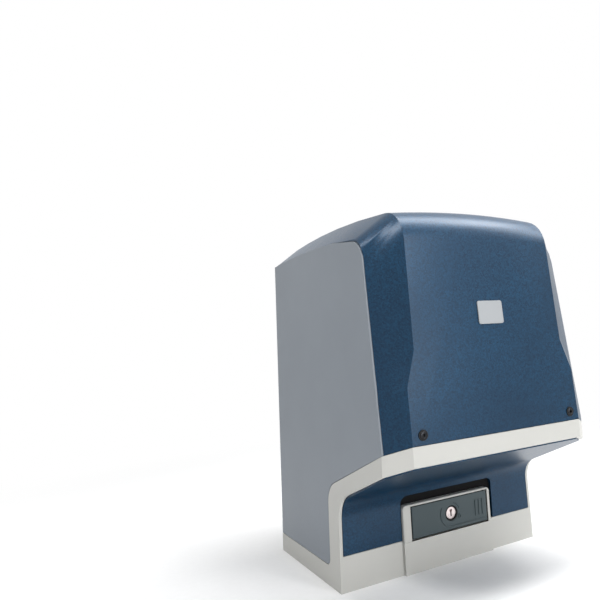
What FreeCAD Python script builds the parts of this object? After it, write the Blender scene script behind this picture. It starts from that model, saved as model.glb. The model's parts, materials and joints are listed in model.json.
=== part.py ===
"""Sliding gate motor: floor-standing operator with a rack pinion at the rear.

Frame: millimetres, +X to the right seen from the front, +Y towards the gate (rear), +Z up.
The origin is the centre of the four foundation slots, on the underside of the base plate.
Every size is a named cell of the spreadsheet "Sizes". Size objects carry a number together
with its spreadsheet expression, so that a length worked out from others stays parametric.
"""
import FreeCAD, Part
import math
import os

import Sketcher

from FreeCAD import Placement, Rotation, Vector

doc = FreeCAD.newDocument("SlidingGateMotor")
sheet = doc.addObject("Spreadsheet::Sheet", "Sizes")

# name, value in mm (or a plain ratio), meaning
SIZES = [
    ("width", 226, "overall width at the foot"),
    ("base_depth", 146, "depth of the foot"),
    ("overhang", 98, "how far the band stands in front of the foot"),
    ("side_lean", 0.0185, "inward lean of the side faces, mm per mm of height"),
    ("front_lean", 0.078, "backward lean of the cover front, mm per mm of height"),
    ("wall", 3, "wall of the plastic mouldings"),
    ("gap", 0.4, "shut line between mouldings"),
    ("seat_gap", 0.3, "clearance of pieces that slide past each other"),
    ("fit_gap", 0.05, "radial clearance of a shaft in its bore"),
    ("side_skirt", 18, "height of the skirt at the sides and rear"),
    ("front_skirt", 31, "height of the skirt at the front"),
    ("post_depth", 21.4, "depth of the upright strip at the front corners"),
    ("post_radius", 22, "outer bend from the upright strip to the band"),
    ("post_inner_radius", 26, "inner bend from the upright strip to the band"),
    ("post_foot_radius", 7, "bend from the strip into the skirt"),
    ("band_top", 135, "height of the band's upper edge at the front"),
    ("band_height", 16, "height of the band at the front"),
    ("band_slope", 0.39, "fall of the band towards the rear, mm per mm"),
    ("band_chamfer_x", 19.6, "width of the band's corner chamfer"),
    ("band_chamfer_y", 15, "depth of the band's corner chamfer"),
    ("rear_wall_top", 130, "height of the frame's rear wall"),
    ("crease_waist", 90.4, "half width of the front face below the waist"),
    ("crease_shoulder", 80.8, "half width of the front face above the waist"),
    ("crease_top", 79, "half width of the front face at the top"),
    ("waist_low", 180.3, "height where the front face starts to narrow"),
    ("waist_high", 209, "height where the narrowing ends"),
    ("top_height", 328.4, "height of the top crease at the rear"),
    ("top_slope", 0.018, "fall of the top towards the front, mm per mm"),
    ("top_radius", 30, "bend from the front face to the top"),
    ("crown", 3.6, "rise of the front and top faces at mid width"),
    ("panel_front", 155.9, "panel front edge ahead of the origin, at the band"),
    ("panel_lean", 0.125, "backward lean of the panel's front edge"),
    ("top_arch", 5.5, "rise of the top's arch from front to rear at mid length"),
    ("panel_drop", 20.4, "height of the top crease above the panel's top edge"),
    ("panel_slope", 0.03, "fall of the panel's top edge towards the front"),
    ("panel_radius", 20, "bend at the panel's upper front corner"),
    ("panel_thickness", 3, "thickness of the side panels"),
    ("panel_proud", 1, "how far the panels stand out of the cover"),
    ("fascia_rise", 0.4, "slope of the fascia's underside, mm per mm"),
    ("fascia_radius", 24, "bend between the fascia's front and underside"),
    ("surround_left", 47.9, "release surround, left edge from the middle"),
    ("surround_right", 55.8, "release surround, right edge from the middle"),
    ("surround_top", 63.3, "height of the release surround"),
    ("surround_proud", 3, "how far the surround stands out of the fascia"),
    ("surround_radius", 4, "corner radius of the surround"),
    ("surround_depth", 8.5, "depth of the surround behind its face"),
    ("surround_round", 1.2, "round of the surround's front edges"),
    ("hood_gap", 4.6, "open gap between surround and fascia at the right"),
    ("hood_wall", 1.5, "wall of the recess behind the hood"),
    ("hood_rise", 8.7, "open gap between surround and fascia at the top"),
    ("door_left", 37.8, "release door, left edge from the middle"),
    ("door_right", 51.2, "release door, right edge from the middle"),
    ("door_bottom", 31, "height of the door's lower edge"),
    ("door_top", 60.2, "height of the door's upper edge"),
    ("door_recess", 0.8, "door face behind the surround's face"),
    ("door_thickness", 4, "thickness of the door leaf"),
    ("door_gap", 1.5, "gap round the door"),
    ("barrel_radius", 4.5, "radius of the door's hinge barrel"),
    ("hinge_pin_radius", 1.6, "radius of the hinge pin"),
    ("lock_x", 7.8, "lock axis right of the middle"),
    ("lock_z", 46.1, "height of the lock axis"),
    ("lock_radius", 5.9, "radius of the lock's face"),
    ("ridge_radius", 12, "radius of the ridge moulded round the lock"),
    ("ridge_width", 1.2, "width of the ridge"),
    ("ridge_proud", 0.6, "how far the ridge stands out of the door"),
    ("grip_pitch", 4.4, "distance between the door's grip ribs"),
    ("sleeve_radius", 7.4, "outer radius of the lock's sleeve"),
    ("lock_length", 17, "length of the lock body"),
    ("lock_proud", 2, "how far the lock stands out of the door"),
    ("cam_length", 17, "length of the lock's tongue"),
    ("cam_thickness", 2, "thickness of the lock's tongue"),
    ("slide_travel", 12, "travel of the release slide"),
    ("yoke_travel", 6, "travel of the release yoke"),
    ("slide_bottom", 31, "height of the underside of the release slide"),
    ("slide_height", 5, "height of the release slide"),
    ("finger_length", 11.5, "reach of the finger on the door's barrel"),
    ("finger_width", 3, "width of the finger"),
    ("plate_thickness", 9, "thickness of the base plate"),
    ("bolt_x", 170, "distance between foundation slots along X"),
    ("bolt_y", 96, "distance between foundation slots along Y"),
    ("slot_length", 26, "end-to-end length of a foundation slot"),
    ("slot_radius", 5.5, "half width of a foundation slot"),
    ("level_inset", 16, "levelling screw ahead of or behind its slot"),
    ("level_radius", 4, "radius of a levelling screw"),
    ("cable_x", 40, "length of the cable opening"),
    ("cable_y", 26, "width of the cable opening"),
    ("axis_height", 90, "height of the output shaft"),
    ("pinion_module", 4, "module of the rack pinion"),
    ("pinion_teeth", 12, "teeth of the rack pinion"),
    ("pinion_width", 28, "face width of the rack pinion"),
    ("pinion_start", 78.5, "rear of the frame to the pinion, from the origin"),
    ("pinion_bore", 10, "radius of the pinion's bore"),
    ("shaft_radius", 12.5, "radius of the output shaft in its bearings"),
    ("bearing_radius", 26, "outer radius of the shaft bearings"),
    ("bearing_width", 15, "width of the shaft bearings"),
    ("wheel_teeth", 40, "teeth of the worm wheel"),
    ("worm_module", 2, "module of the worm drive"),
    ("worm_pitch_radius", 10, "pitch radius of the worm"),
    ("wheel_width", 20, "face width of the worm wheel"),
    ("wheel_y", 12, "middle of the worm wheel along Y"),
    ("mesh_gap", 0.35, "clearance at each flank of the worm drive"),
    ("case_radius", 54, "outer radius of the gear case"),
    ("case_wall", 8, "wall of the gear case"),
    ("worm_shaft_radius", 6, "radius of the worm shaft's journals"),
    ("motor_radius", 40, "outer radius of the motor"),
    ("motor_foot", 158, "height of the motor flange"),
    ("motor_length", 96, "length of the motor can"),
    ("screw_x", 80.6, "cover screw from the middle"),
    ("screw_z", 143, "height of the cover screws"),
    ("screw_radius", 3.2, "radius of a cover screw's head"),
    ("screw_ring", 4.2, "outer radius of the ring under a cover screw"),
    ("badge_width", 27, "width of the blank badge"),
    ("badge_height", 20, "height of the blank badge"),
    ("badge_z", 237, "height of the badge's middle"),
    ("board_width", 150, "width of the control board"),
    ("board_height", 118, "height of the control board"),
    ("board_bottom", 165, "height of the control board's lower edge"),
    ("carrier_y", 62, "carrier plate ahead of the origin"),
    ("shelf_height", 150, "height of the transformer shelf"),
]

for row, (alias, value, meaning) in enumerate(SIZES, start=1):
    sheet.set("A%d" % row, alias)
    sheet.set("B%d" % row, str(value))
    sheet.setAlias("B%d" % row, alias)
    sheet.set("C%d" % row, meaning)
doc.recompute()


class Size:
    """A number and the spreadsheet expression that gives it."""

    def __init__(self, value, text):
        self.value = float(value)
        self.text = text

    def __float__(self):
        return self.value

    def __neg__(self):
        return Size(-self.value, "(-%s)" % self.text)

    def __add__(self, other):
        other = as_size(other)
        return Size(self.value + other.value, "(%s + %s)" % (self.text, other.text))

    def __sub__(self, other):
        other = as_size(other)
        return Size(self.value - other.value, "(%s - %s)" % (self.text, other.text))

    def __mul__(self, other):
        other = as_size(other)
        return Size(self.value * other.value, "(%s * %s)" % (self.text, other.text))

    def __truediv__(self, other):
        other = as_size(other)
        return Size(self.value / other.value, "(%s / %s)" % (self.text, other.text))

    def __radd__(self, other):
        return as_size(other) + self

    def __rsub__(self, other):
        return as_size(other) - self

    def __rmul__(self, other):
        return as_size(other) * self


def as_size(value):
    """Wrap a plain number, leave a Size as it is."""
    return value if isinstance(value, Size) else Size(value, repr(float(value)))


class Sizes:
    """Attribute access to the spreadsheet: S.width is the Size of the cell named width."""

    def __getattr__(self, alias):
        return Size(sheet.get(alias), "Sizes." + alias)


S = Sizes()
NODES = {}


def node(thing, name):
    """Give a finished object its label and keep it for export."""
    thing.Label = name
    NODES[name] = thing
    return thing


def bind(thing, prop, value):
    """Set a property from a Size, as an expression where it depends on the sheet."""
    value = as_size(value)
    setattr(thing, prop, value.value)
    if "Sizes." in value.text:
        thing.setExpression(prop, value.text)


def place(thing, x=0, y=0, z=0, rotation=None):
    """Put an object at a point that follows the sheet."""
    x, y, z = as_size(x), as_size(y), as_size(z)
    thing.Placement = Placement(Vector(x.value, y.value, z.value), rotation or Rotation())
    for axis, value in (("x", x), ("y", y), ("z", z)):
        if "Sizes." in value.text:
            thing.setExpression("Placement.Base." + axis, value.text)
    return thing


ALONG = {"X": Rotation(Vector(0, 1, 0), 90), "Y": Rotation(Vector(1, 0, 0), -90), "Z": Rotation()}


def box(x0, x1, y0, y1, z0, z1, name="Block"):
    """Block between pairs of coordinates."""
    thing = doc.addObject("Part::Box", name)
    x0, y0, z0 = as_size(x0), as_size(y0), as_size(z0)
    bind(thing, "Length", as_size(x1) - x0)
    bind(thing, "Width", as_size(y1) - y0)
    bind(thing, "Height", as_size(z1) - z0)
    return place(thing, x0, y0, z0)


def rod(radius, start, end, x=0, y=0, z=0, along="Z", name="Rod"):
    """Cylinder along an axis from start to end; x, y, z place its axis."""
    thing = doc.addObject("Part::Cylinder", name)
    bind(thing, "Radius", radius)
    bind(thing, "Height", as_size(end) - start)
    at = {"X": (start, y, z), "Y": (x, start, z), "Z": (x, y, start)}[along]
    return place(thing, *at, rotation=ALONG[along])


def cone(radius1, radius2, start, end, x=0, y=0, z=0, along="Z", name="Taper"):
    """Cone along an axis from start to end."""
    thing = doc.addObject("Part::Cone", name)
    bind(thing, "Radius1", radius1)
    bind(thing, "Radius2", radius2)
    bind(thing, "Height", as_size(end) - start)
    at = {"X": (start, y, z), "Y": (x, start, z), "Z": (x, y, start)}[along]
    return place(thing, *at, rotation=ALONG[along])


def hexagon(radius, start, end, x=0, y=0, z=0, along="Z", name="Hexagon"):
    """Six-sided prism along an axis from start to end."""
    thing = doc.addObject("Part::Prism", name)
    thing.Polygon = 6
    bind(thing, "Circumradius", radius)
    bind(thing, "Height", as_size(end) - start)
    at = {"X": (start, y, z), "Y": (x, start, z), "Z": (x, y, start)}[along]
    return place(thing, *at, rotation=ALONG[along])


def fuse(*things, name="Joined"):
    """Union of objects."""
    thing = doc.addObject("Part::MultiFuse", name)
    thing.Shapes = list(things)
    thing.Refine = True
    return thing


def cut(base, *tools, name="Cut"):
    """Base minus every tool."""
    thing = doc.addObject("Part::Cut", name)
    thing.Base = base
    thing.Tool = tools[0] if len(tools) == 1 else fuse(*tools, name=name + "Tools")
    thing.Refine = True
    return thing


def group(things, name):
    """Separate solids kept together in one node, such as a set of screws."""
    thing = doc.addObject("Part::Compound", name)
    thing.Links = list(things)
    return thing


def ring(outer, inner, start, end, name="Ring", **where):
    """Tube along an axis."""
    return cut(rod(outer, start, end, **where), rod(inner, start, end, **where), name=name)


def feature(shape, name):
    """Keep a computed shape as an object of the document."""
    thing = doc.addObject("Part::Feature", name)
    thing.Shape = shape
    return thing


def body(name):
    """New PartDesign body."""
    return doc.addObject("PartDesign::Body", name)


def draw(owner, name, role, points, circles=()):
    """Closed outline on an origin plane of its own body, every corner bound to the sheet.

    Points are pairs of Size; circles are (x, y, radius) holes or discs.
    """
    sketch = owner.newObject("Sketcher::SketchObject", name)
    plane = [item for item in owner.Origin.OriginFeatures if item.Role == role][0]
    sketch.AttachmentSupport = [(plane, "")]
    sketch.MapMode = "FlatFace"
    corners = [(as_size(u), as_size(v)) for u, v in points]
    total = len(corners)
    for i, (u, v) in enumerate(corners):
        after = corners[(i + 1) % total]
        sketch.addGeometry(Part.LineSegment(Vector(u.value, v.value, 0),
                                            Vector(after[0].value, after[1].value, 0)))
    for i in range(total):
        sketch.addConstraint(constraint("Coincident", i, 2, (i + 1) % total, 1))
    for i, (u, v) in enumerate(corners):
        tie(sketch, "DistanceX", i, 1, u)
        tie(sketch, "DistanceY", i, 1, v)
    for u, v, radius in circles:
        u, v, radius = as_size(u), as_size(v), as_size(radius)
        i = sketch.addGeometry(Part.Circle(Vector(u.value, v.value, 0), Vector(0, 0, 1), radius.value))
        tie(sketch, "DistanceX", i, 3, u)
        tie(sketch, "DistanceY", i, 3, v)
        at = sketch.addConstraint(constraint("Radius", i, radius.value))
        if "Sizes." in radius.text:
            sketch.setExpression("Constraints[%d]" % at, radius.text)
    return sketch


def constraint(*args):
    """Sketcher constraint."""
    return Sketcher.Constraint(*args)


def tie(sketch, kind, line, point, value):
    """Fix one coordinate of a sketch point, from the sheet."""
    at = sketch.addConstraint(constraint(kind, -1, 1, line, point, value.value))
    if "Sizes." in value.text:
        sketch.setExpression("Constraints[%d]" % at, value.text)


def pad(owner, sketch, length, midplane=False, backwards=False, name="Pad"):
    """Pad a sketch of a body."""
    thing = owner.newObject("PartDesign::Pad", name)
    thing.Profile = sketch
    bind(thing, "Length", length)
    thing.Midplane = midplane
    thing.Reversed = backwards
    doc.recompute()
    return thing


# ---------------------------------------------------------------- outer surfaces

def side_x(z, inset=0.0):
    """Half width of the side faces at a height."""
    return float(S.width) / 2 - float(S.side_lean) * z - inset


def front_y(z, inset=0.0):
    """Y of the cover's front face at a height."""
    front = -float(S.base_depth) / 2 - float(S.overhang)
    return front + float(S.front_lean) * (z - float(S.band_top)) + inset


def band_z(y):
    """Height of the band's upper edge at a Y."""
    return float(S.band_top) - float(S.band_slope) * (y - front_y(float(S.band_top)))


def prism(points, low, high, axis="X"):
    """Straight block with a polygon outline, extruded along an axis from low to high."""
    spots = {"X": lambda a, b: Vector(low, a, b),
             "Y": lambda a, b: Vector(a, low, b),
             "Z": lambda a, b: Vector(a, b, low)}[axis]
    along = {"X": Vector(1, 0, 0), "Y": Vector(0, 1, 0), "Z": Vector(0, 0, 1)}[axis]
    corners = [spots(a, b) for a, b in points]
    face = Part.Face(Part.makePolygon(corners + corners[:1]))
    return face.extrude(along * (high - low))


def rounded(points, radii):
    """Replace the corners of a polygon by arcs; a radius of 0 keeps the corner."""
    total = len(points)
    edges = []
    tangents = []
    for i in range(total):
        corner = Vector(points[i][0], points[i][1], 0)
        before = Vector(points[i - 1][0], points[i - 1][1], 0) - corner
        after = Vector(points[(i + 1) % total][0], points[(i + 1) % total][1], 0) - corner
        if radii[i] == 0:
            tangents.append((corner, corner, None))
            continue
        half = before.getAngle(after) / 2
        reach = radii[i] / math.tan(half)
        start = corner + before.normalize() * reach
        end = corner + after.normalize() * reach
        middle = (start + end) * 0.5
        centre_way = (middle - corner).normalize()
        centre = corner + centre_way * (radii[i] / math.sin(half))
        tangents.append((start, end, centre - centre_way * radii[i]))
    for i in range(total):
        start, end, through = tangents[i]
        if through is not None:
            edges.append(Part.Arc(start, through, end).toShape())
        following = tangents[(i + 1) % total][0]
        if (following - end).Length > 1e-6:
            edges.append(Part.LineSegment(end, following).toShape())
    return Part.Face(Part.Wire(edges))


# A flat outline (a, b) is turned so that it lies in the plane seen along each axis.
TURN = {"X": Rotation(Vector(0, 1, 0), Vector(0, 0, 1), Vector(1, 0, 0), "ZXY"),
        "Y": Rotation(Vector(1, 0, 0), Vector(0, 0, 1), Vector(0, -1, 0), "ZXY"),
        "Z": Rotation()}


def slab(face, low, high, axis="X"):
    """Extrude a flat outline along an axis from low to high."""
    along = {"X": Vector(1, 0, 0), "Y": Vector(0, 1, 0), "Z": Vector(0, 0, 1)}[axis]
    shape = face.copy()
    shape.Placement = Placement(along * low, TURN[axis])
    return shape.extrude(along * (high - low))


def band_volume(inset):
    """Volume inside the side faces and the chamfered front, inset from the outside."""
    reach = float(S.width)
    front = front_y(float(S.band_top)) + inset
    half = side_x(float(S.band_top)) - inset
    chamfer_x = float(S.band_chamfer_x) - inset * 0.3
    chamfer_y = float(S.band_chamfer_y) - inset * 0.3
    plan = [(-reach, reach), (-reach, front + chamfer_y + (reach - half) * chamfer_y / chamfer_x)]
    plan += [(-half + chamfer_x, front), (half - chamfer_x, front)]
    plan += [(reach, front + chamfer_y + (reach - half) * chamfer_y / chamfer_x), (reach, reach)]
    top = float(S.top_height) + 50
    sides = [(-side_x(0, inset), 0), (side_x(0, inset), 0), (side_x(top, inset), top), (-side_x(top, inset), top)]
    return prism(plan, 0, top, "Z").common(prism(sides, -reach * 2, reach * 2, "Y"))


FOOT_FRONT = -float(S.base_depth) / 2
FOOT_REAR = float(S.base_depth) / 2
POST_REAR = FOOT_FRONT + float(S.post_depth)
FRONT = front_y(float(S.band_top))


def base_frame():
    """Light moulding: skirt, corner posts and the band that carries the cover."""
    wall = float(S.wall)
    reach = float(S.width)
    skin = band_volume(0).cut(band_volume(wall))
    band_low = float(S.band_top) - float(S.band_height)
    meet = band_low - float(S.band_slope) * (FOOT_FRONT - FRONT)
    outline = [(FRONT - 5, band_low + 2), (FOOT_FRONT, meet), (FOOT_FRONT, 0), (POST_REAR, 0),
               (POST_REAR, band_z(POST_REAR)), (FRONT - 5, band_z(FRONT - 5))]
    bends = [0, float(S.post_inner_radius), 0, 0, float(S.post_radius), 0]
    upper = skin.common(slab(rounded(outline, bends), -reach, reach))
    foot = band_volume(0).common(prism([(FOOT_FRONT, 0), (FOOT_REAR, 0), (FOOT_REAR, 200), (FOOT_FRONT, 200)],
                                       -reach, reach))
    foot_inner = band_volume(wall).common(prism([(FOOT_FRONT + wall, 0), (FOOT_REAR - wall, 0),
                                                 (FOOT_REAR - wall, 200), (FOOT_FRONT + wall, 200)],
                                                -reach, reach))
    skirt_line = [(FOOT_FRONT, 0), (FOOT_REAR, 0), (FOOT_REAR, float(S.side_skirt)),
                  (POST_REAR, float(S.side_skirt)), (POST_REAR, float(S.front_skirt)),
                  (FOOT_FRONT, float(S.front_skirt))]
    ring_wall = foot.cut(foot_inner)
    bend = float(S.post_foot_radius)
    skirt = ring_wall.common(prism(skirt_line, -reach, reach))
    hollow = slab(rounded([(POST_REAR, float(S.side_skirt)), (FOOT_REAR + 9, float(S.side_skirt)),
                           (FOOT_REAR + 9, 90), (POST_REAR, 90)], [bend, 0, 0, 0]), -reach, reach)
    web = prism([(POST_REAR, float(S.side_skirt)), (POST_REAR + bend, float(S.side_skirt)),
                 (POST_REAR, float(S.side_skirt) + bend)], -reach, reach)
    web = ring_wall.common(web).cut(hollow)
    inside = float(S.gap)
    rear_half = side_x(0) - float(S.panel_thickness) - inside
    rear = Part.makeBox(2 * rear_half, wall, float(S.rear_wall_top) - 5,
                        Vector(-rear_half, FOOT_REAR - wall, 5))
    rear = rear.common(band_volume(float(S.panel_thickness) + inside))
    proud = float(S.surround_proud)
    left = float(S.surround_left)
    width = left + float(S.surround_right)
    centre = Part.makeBox(width, proud, float(S.door_bottom) - float(S.door_gap),
                          Vector(-left, FOOT_FRONT - proud, 0))
    lug_size = 2 * float(S.screw_ring) + 4
    lugs = []
    for side in (-1, 1):
        foot_z = float(S.band_top) - float(S.band_height)
        spot = side * float(S.screw_x)
        lug = Part.makeBox(lug_size, wall, 40, Vector(spot - lug_size / 2, FRONT + wall + 2.4, foot_z + 2))
        hole = Part.makeCylinder(2, 20, Vector(spot, FRONT, float(S.screw_z)), Vector(0, 1, 0))
        bridge = Part.makeBox(lug_size, wall + 3, 8, Vector(spot - lug_size / 2, FRONT + 1, foot_z + 2))
        lugs += [lug.fuse(bridge).cut(hole)]
    sill = float(S.door_bottom) - float(S.door_gap)
    pin_x, pin_y = hinge_axis()
    boss = Part.makeBox(12, 7, 9, Vector(pin_x - 6, FOOT_FRONT, sill - 9))
    notch = Part.makeBox(width + 2 * inside, 12, 20, Vector(-left - inside, FOOT_FRONT - 6, sill))
    socket = Part.makeCylinder(float(S.hinge_pin_radius) + 0.01, 8, Vector(pin_x, pin_y, sill - 8))
    shape = skirt.fuse([upper, web, rear, centre, boss] + lugs).cut([notch, socket])
    hub = Part.makeCylinder(float(S.bearing_radius) + float(S.case_wall) + inside, 20,
                            Vector(0, FOOT_REAR - 10, float(S.axis_height)), Vector(0, 1, 0))
    return feature(shape.cut(hub).removeSplitter(), "BaseFrame")


HOOD_RADIUS = 7.0
RELIEF = 4.9


def lower_fascia():
    """Coloured skin under the overhang, with the hooded opening for the release."""
    wall = float(S.wall)
    reach = float(S.width)
    inside = float(S.gap)
    rise = float(S.fascia_rise)
    low = float(S.front_skirt) + inside
    band_low = float(S.band_top) - float(S.band_height)
    tip = FRONT + wall + inside

    def underside(y, drop):
        return band_low - 1 - rise * (y - FRONT) + drop

    outer = [(FOOT_FRONT, low), (FOOT_FRONT, underside(FOOT_FRONT, 0)), (tip, underside(tip, 0)),
             (tip, underside(tip, wall)), (FOOT_FRONT + wall, underside(FOOT_FRONT + wall, wall)),
             (FOOT_FRONT + wall, low)]
    bend = float(S.fascia_radius)
    section = rounded(outer, [0, bend, 0, 0, bend + wall, 0])
    skin = slab(section, -reach, reach).common(band_volume(wall + inside))
    left = float(S.surround_left) + inside
    right = float(S.surround_right) + float(S.hood_gap)
    top = float(S.surround_top) + float(S.hood_rise)
    recess_wall = float(S.hood_wall)
    back = FOOT_FRONT - float(S.surround_proud) + float(S.surround_depth) + float(S.seat_gap)

    def mouth(grow):
        outline = [(-left - grow, low), (right + grow, low), (right + grow, top + grow), (-left - grow, top + grow)]
        return rounded(outline, [0, 0, HOOD_RADIUS + grow, HOOD_RADIUS + grow])

    behind = slab(rounded([(FOOT_FRONT, low), (FOOT_FRONT, underside(FOOT_FRONT, 0)), (tip, underside(tip, 0)),
                           (tip, band_low + bend), (back, band_low + bend), (back, low)],
                          [0, bend, 0, 0, 0, 0]), -reach, reach)
    returns = slab(mouth(recess_wall), FRONT, back, "Y").common(behind)
    hole = slab(mouth(0), FRONT, back + wall, "Y")
    back_wall = slab(mouth(recess_wall), back, back + recess_wall, "Y")
    door_side, door_top = float(S.door_gap) + float(S.seat_gap), float(S.door_top) + float(S.door_gap)
    doorway = Part.makeBox(float(S.door_left) + float(S.door_right) + 2 * door_side + RELIEF, 2 * wall,
                           door_top - low + float(S.seat_gap),
                           Vector(-float(S.door_left) - door_side - RELIEF, back - wall, low))
    shape = skin.fuse(returns).cut(hole).fuse(back_wall.cut(doorway))
    return feature(shape.removeSplitter(), "LowerFascia")


def release_surround():
    """Raised light frame round the release door, with the hinge ears."""
    inside = float(S.gap)
    face = FOOT_FRONT - float(S.surround_proud)
    left, right, top = -float(S.surround_left), float(S.surround_right), float(S.surround_top)
    bottom = float(S.door_bottom) - float(S.door_gap)
    depth = float(S.surround_depth)
    bend = float(S.surround_radius)
    low = bottom
    outline = rounded([(left, low), (right, low), (right, top), (left, top)], [0, 0, bend, bend])
    block = slab(outline, face, face + depth, "Y")
    gap = float(S.door_gap)
    opening = Part.makeBox(float(S.door_left) + float(S.door_right) + 2 * gap - 0.3, depth,
                           float(S.door_top) - float(S.door_bottom) + 2 * gap - 0.4,
                           Vector(-float(S.door_left) - gap, face, bottom))
    relief = Part.makeBox(RELIEF + 0.1, depth, float(S.door_top) - float(S.door_bottom) + 2 * gap - 0.4,
                          Vector(-float(S.door_left) - gap - RELIEF, face + 1.6, bottom))
    pin_x, pin_y = hinge_axis()
    bore = Part.makeCylinder(float(S.hinge_pin_radius) + 0.01, top - 0.5 - low,
                             Vector(pin_x, pin_y, low))
    block = block.cut([opening, relief, bore]).removeSplitter()
    rim = [edge for edge in block.Edges
           if all(abs(v.Point.y - face) < 0.01 for v in edge.Vertexes) and outside(edge, left, right, top)]
    return feature(block.makeFillet(float(S.surround_round), rim), "ReleaseSurround")


def outside(edge, left, right, top):
    """Whether an edge of the surround's face lies on its outer outline."""
    middle = edge.valueAt((edge.FirstParameter + edge.LastParameter) / 2)
    near = 0.35 * float(S.surround_radius)
    return middle.x < left + near or middle.x > right - near or middle.z > top - near


def hinge_axis():
    """X and Y of the release door's upright hinge axis."""
    radius = float(S.barrel_radius)
    face = FOOT_FRONT - float(S.surround_proud) + float(S.door_recess)
    return -float(S.door_left) + radius, face + radius


# ---------------------------------------------------------------- cover

HUB_Y = -40.0
HUB_RADIUS = 6.0
FAN_SIDE = float(S.width) / 2 + 6


def top_z(y, inset=0.0):
    """Height of the top crease at a Y: a gentle slope with an arch that peaks at mid length."""
    front = -float(S.panel_front)
    middle, half = (FOOT_REAR + front) / 2, (FOOT_REAR - front) / 2
    arch = float(S.top_arch) * (1 - ((y - middle) / half) ** 2)
    return float(S.top_height) - float(S.top_slope) * (FOOT_REAR - y) + arch - inset


def panel_top_z(y, inset=0.0):
    """Height of the panel's top edge at a Y, following the top crease and falling to the front."""
    fall = (float(S.panel_slope) - float(S.top_slope)) * (FOOT_REAR - y)
    return top_z(y, inset) - float(S.panel_drop) - fall


TOP_STATIONS = [-80.0, -35.0, 5.0, 40.0, 75.0, 110.0]


def belt_points(inset):
    """Side view of the crease: front face, rounded shoulder and top, with the crease width."""
    radius = float(S.top_radius) - inset
    lean = math.atan(float(S.front_lean))
    low = float(S.band_top)
    stations = []
    for z, half in ((low, side_x(low) - float(S.band_chamfer_x)), (float(S.waist_low), float(S.crease_waist)),
                    (float(S.waist_high), float(S.crease_shoulder))):
        stations.append((front_y(z, inset), z, half - inset * 0.4))
    # centre of the shoulder arc: radius away from the front line and from the top line
    centre_y, centre_z, slope = 0.0, 0.0, 0.0
    for _ in range(20):
        centre_y = front_y(centre_z, inset) + radius / math.cos(lean)
        slope = math.atan(top_z(centre_y + 0.5) - top_z(centre_y - 0.5))
        centre_z = top_z(centre_y, inset) - radius / math.cos(slope)
    start = math.pi - lean
    end = math.pi / 2 + slope
    steps = 7
    for i in range(steps + 1):
        turn = start + (end - start) * i / steps
        stations.append((centre_y + radius * math.cos(turn), centre_z + radius * math.sin(turn),
                         float(S.crease_top) - inset * 0.4))
    for y in TOP_STATIONS:
        stations.append((y, top_z(y, inset), float(S.crease_top) - inset * 0.4))
    return stations


def panel_face(grow):
    """Side view of a panel, grown by a margin all round."""
    rear = FOOT_REAR
    bottom = float(S.side_skirt) + float(S.gap) - grow
    inside = float(S.gap) - grow
    front_low = -float(S.panel_front) - grow
    top_front = panel_top_z(front_low, -grow)
    lean = float(S.panel_lean)
    low = float(S.band_top)

    def edge_y(z):
        return front_low + lean * (z - low)

    arch = [(y, panel_top_z(y, -grow)) for y in reversed(TOP_STATIONS) if y < rear - float(S.panel_radius)]
    points = [(POST_REAR + inside, bottom), (rear + grow, bottom), (rear + grow, panel_top_z(rear, -grow))] + arch
    points += [(edge_y(top_front), top_front), (edge_y(band_z(front_low)), band_z(front_low) + inside),
               (POST_REAR + inside, band_z(POST_REAR) + inside)]
    bends = [max(float(S.post_foot_radius) - inside, 1), 0, 0] + [0] * len(arch)
    bends += [float(S.panel_radius), 0, float(S.post_radius) + inside]
    return rounded(points, bends)


def panel_edge(target_y, target_z, hub_z, inset):
    """Where the ray from the hub to a crease point crosses the panel's outline."""
    front_low = -float(S.panel_front) + inset
    lean = float(S.panel_lean)
    low = float(S.band_top)
    radius = float(S.panel_radius)
    dy, dz = target_y - HUB_Y, target_z - hub_z
    # distance along the ray to the front line and, by repeated steps, to the arched top
    to_front = (front_low + lean * (hub_z - low) - HUB_Y) / (dy - lean * dz)
    to_top = 1e9 if dz < 60 else 1.0
    for _ in range(20 if dz >= 60 else 0):
        to_top = (panel_top_z(HUB_Y + dy * to_top, inset) - hub_z) / dz
    if to_front <= 0:
        to_front = 1e9
    reach = min(to_front, to_top)
    # rounded corner: circle tangent to both lines
    centre_z = panel_top_z(front_low, inset) - radius
    centre_y = front_low + lean * (centre_z - low) + radius
    centre_z = panel_top_z(centre_y, inset) - radius
    a = dy * dy + dz * dz
    b = 2 * (dy * (HUB_Y - centre_y) + dz * (hub_z - centre_z))
    c = (HUB_Y - centre_y) ** 2 + (hub_z - centre_z) ** 2 - radius ** 2
    root = b * b - 4 * a * c
    if root > 0:
        hit = (-b + math.sqrt(root)) / (2 * a)
        y, z = HUB_Y + dy * hit, hub_z + dz * hit
        if y < centre_y and z > centre_z:
            reach = min(reach, hit)
    return HUB_Y + dy * reach, hub_z + dz * reach


def crown_at(z):
    """How far the front face bulges at mid width, growing from the band to the shoulder."""
    climb = (z - float(S.band_top)) / (float(S.top_height) - float(S.top_radius) - float(S.band_top))
    return float(S.crown) * min(max(climb, 0.05), 1.0)


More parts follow.
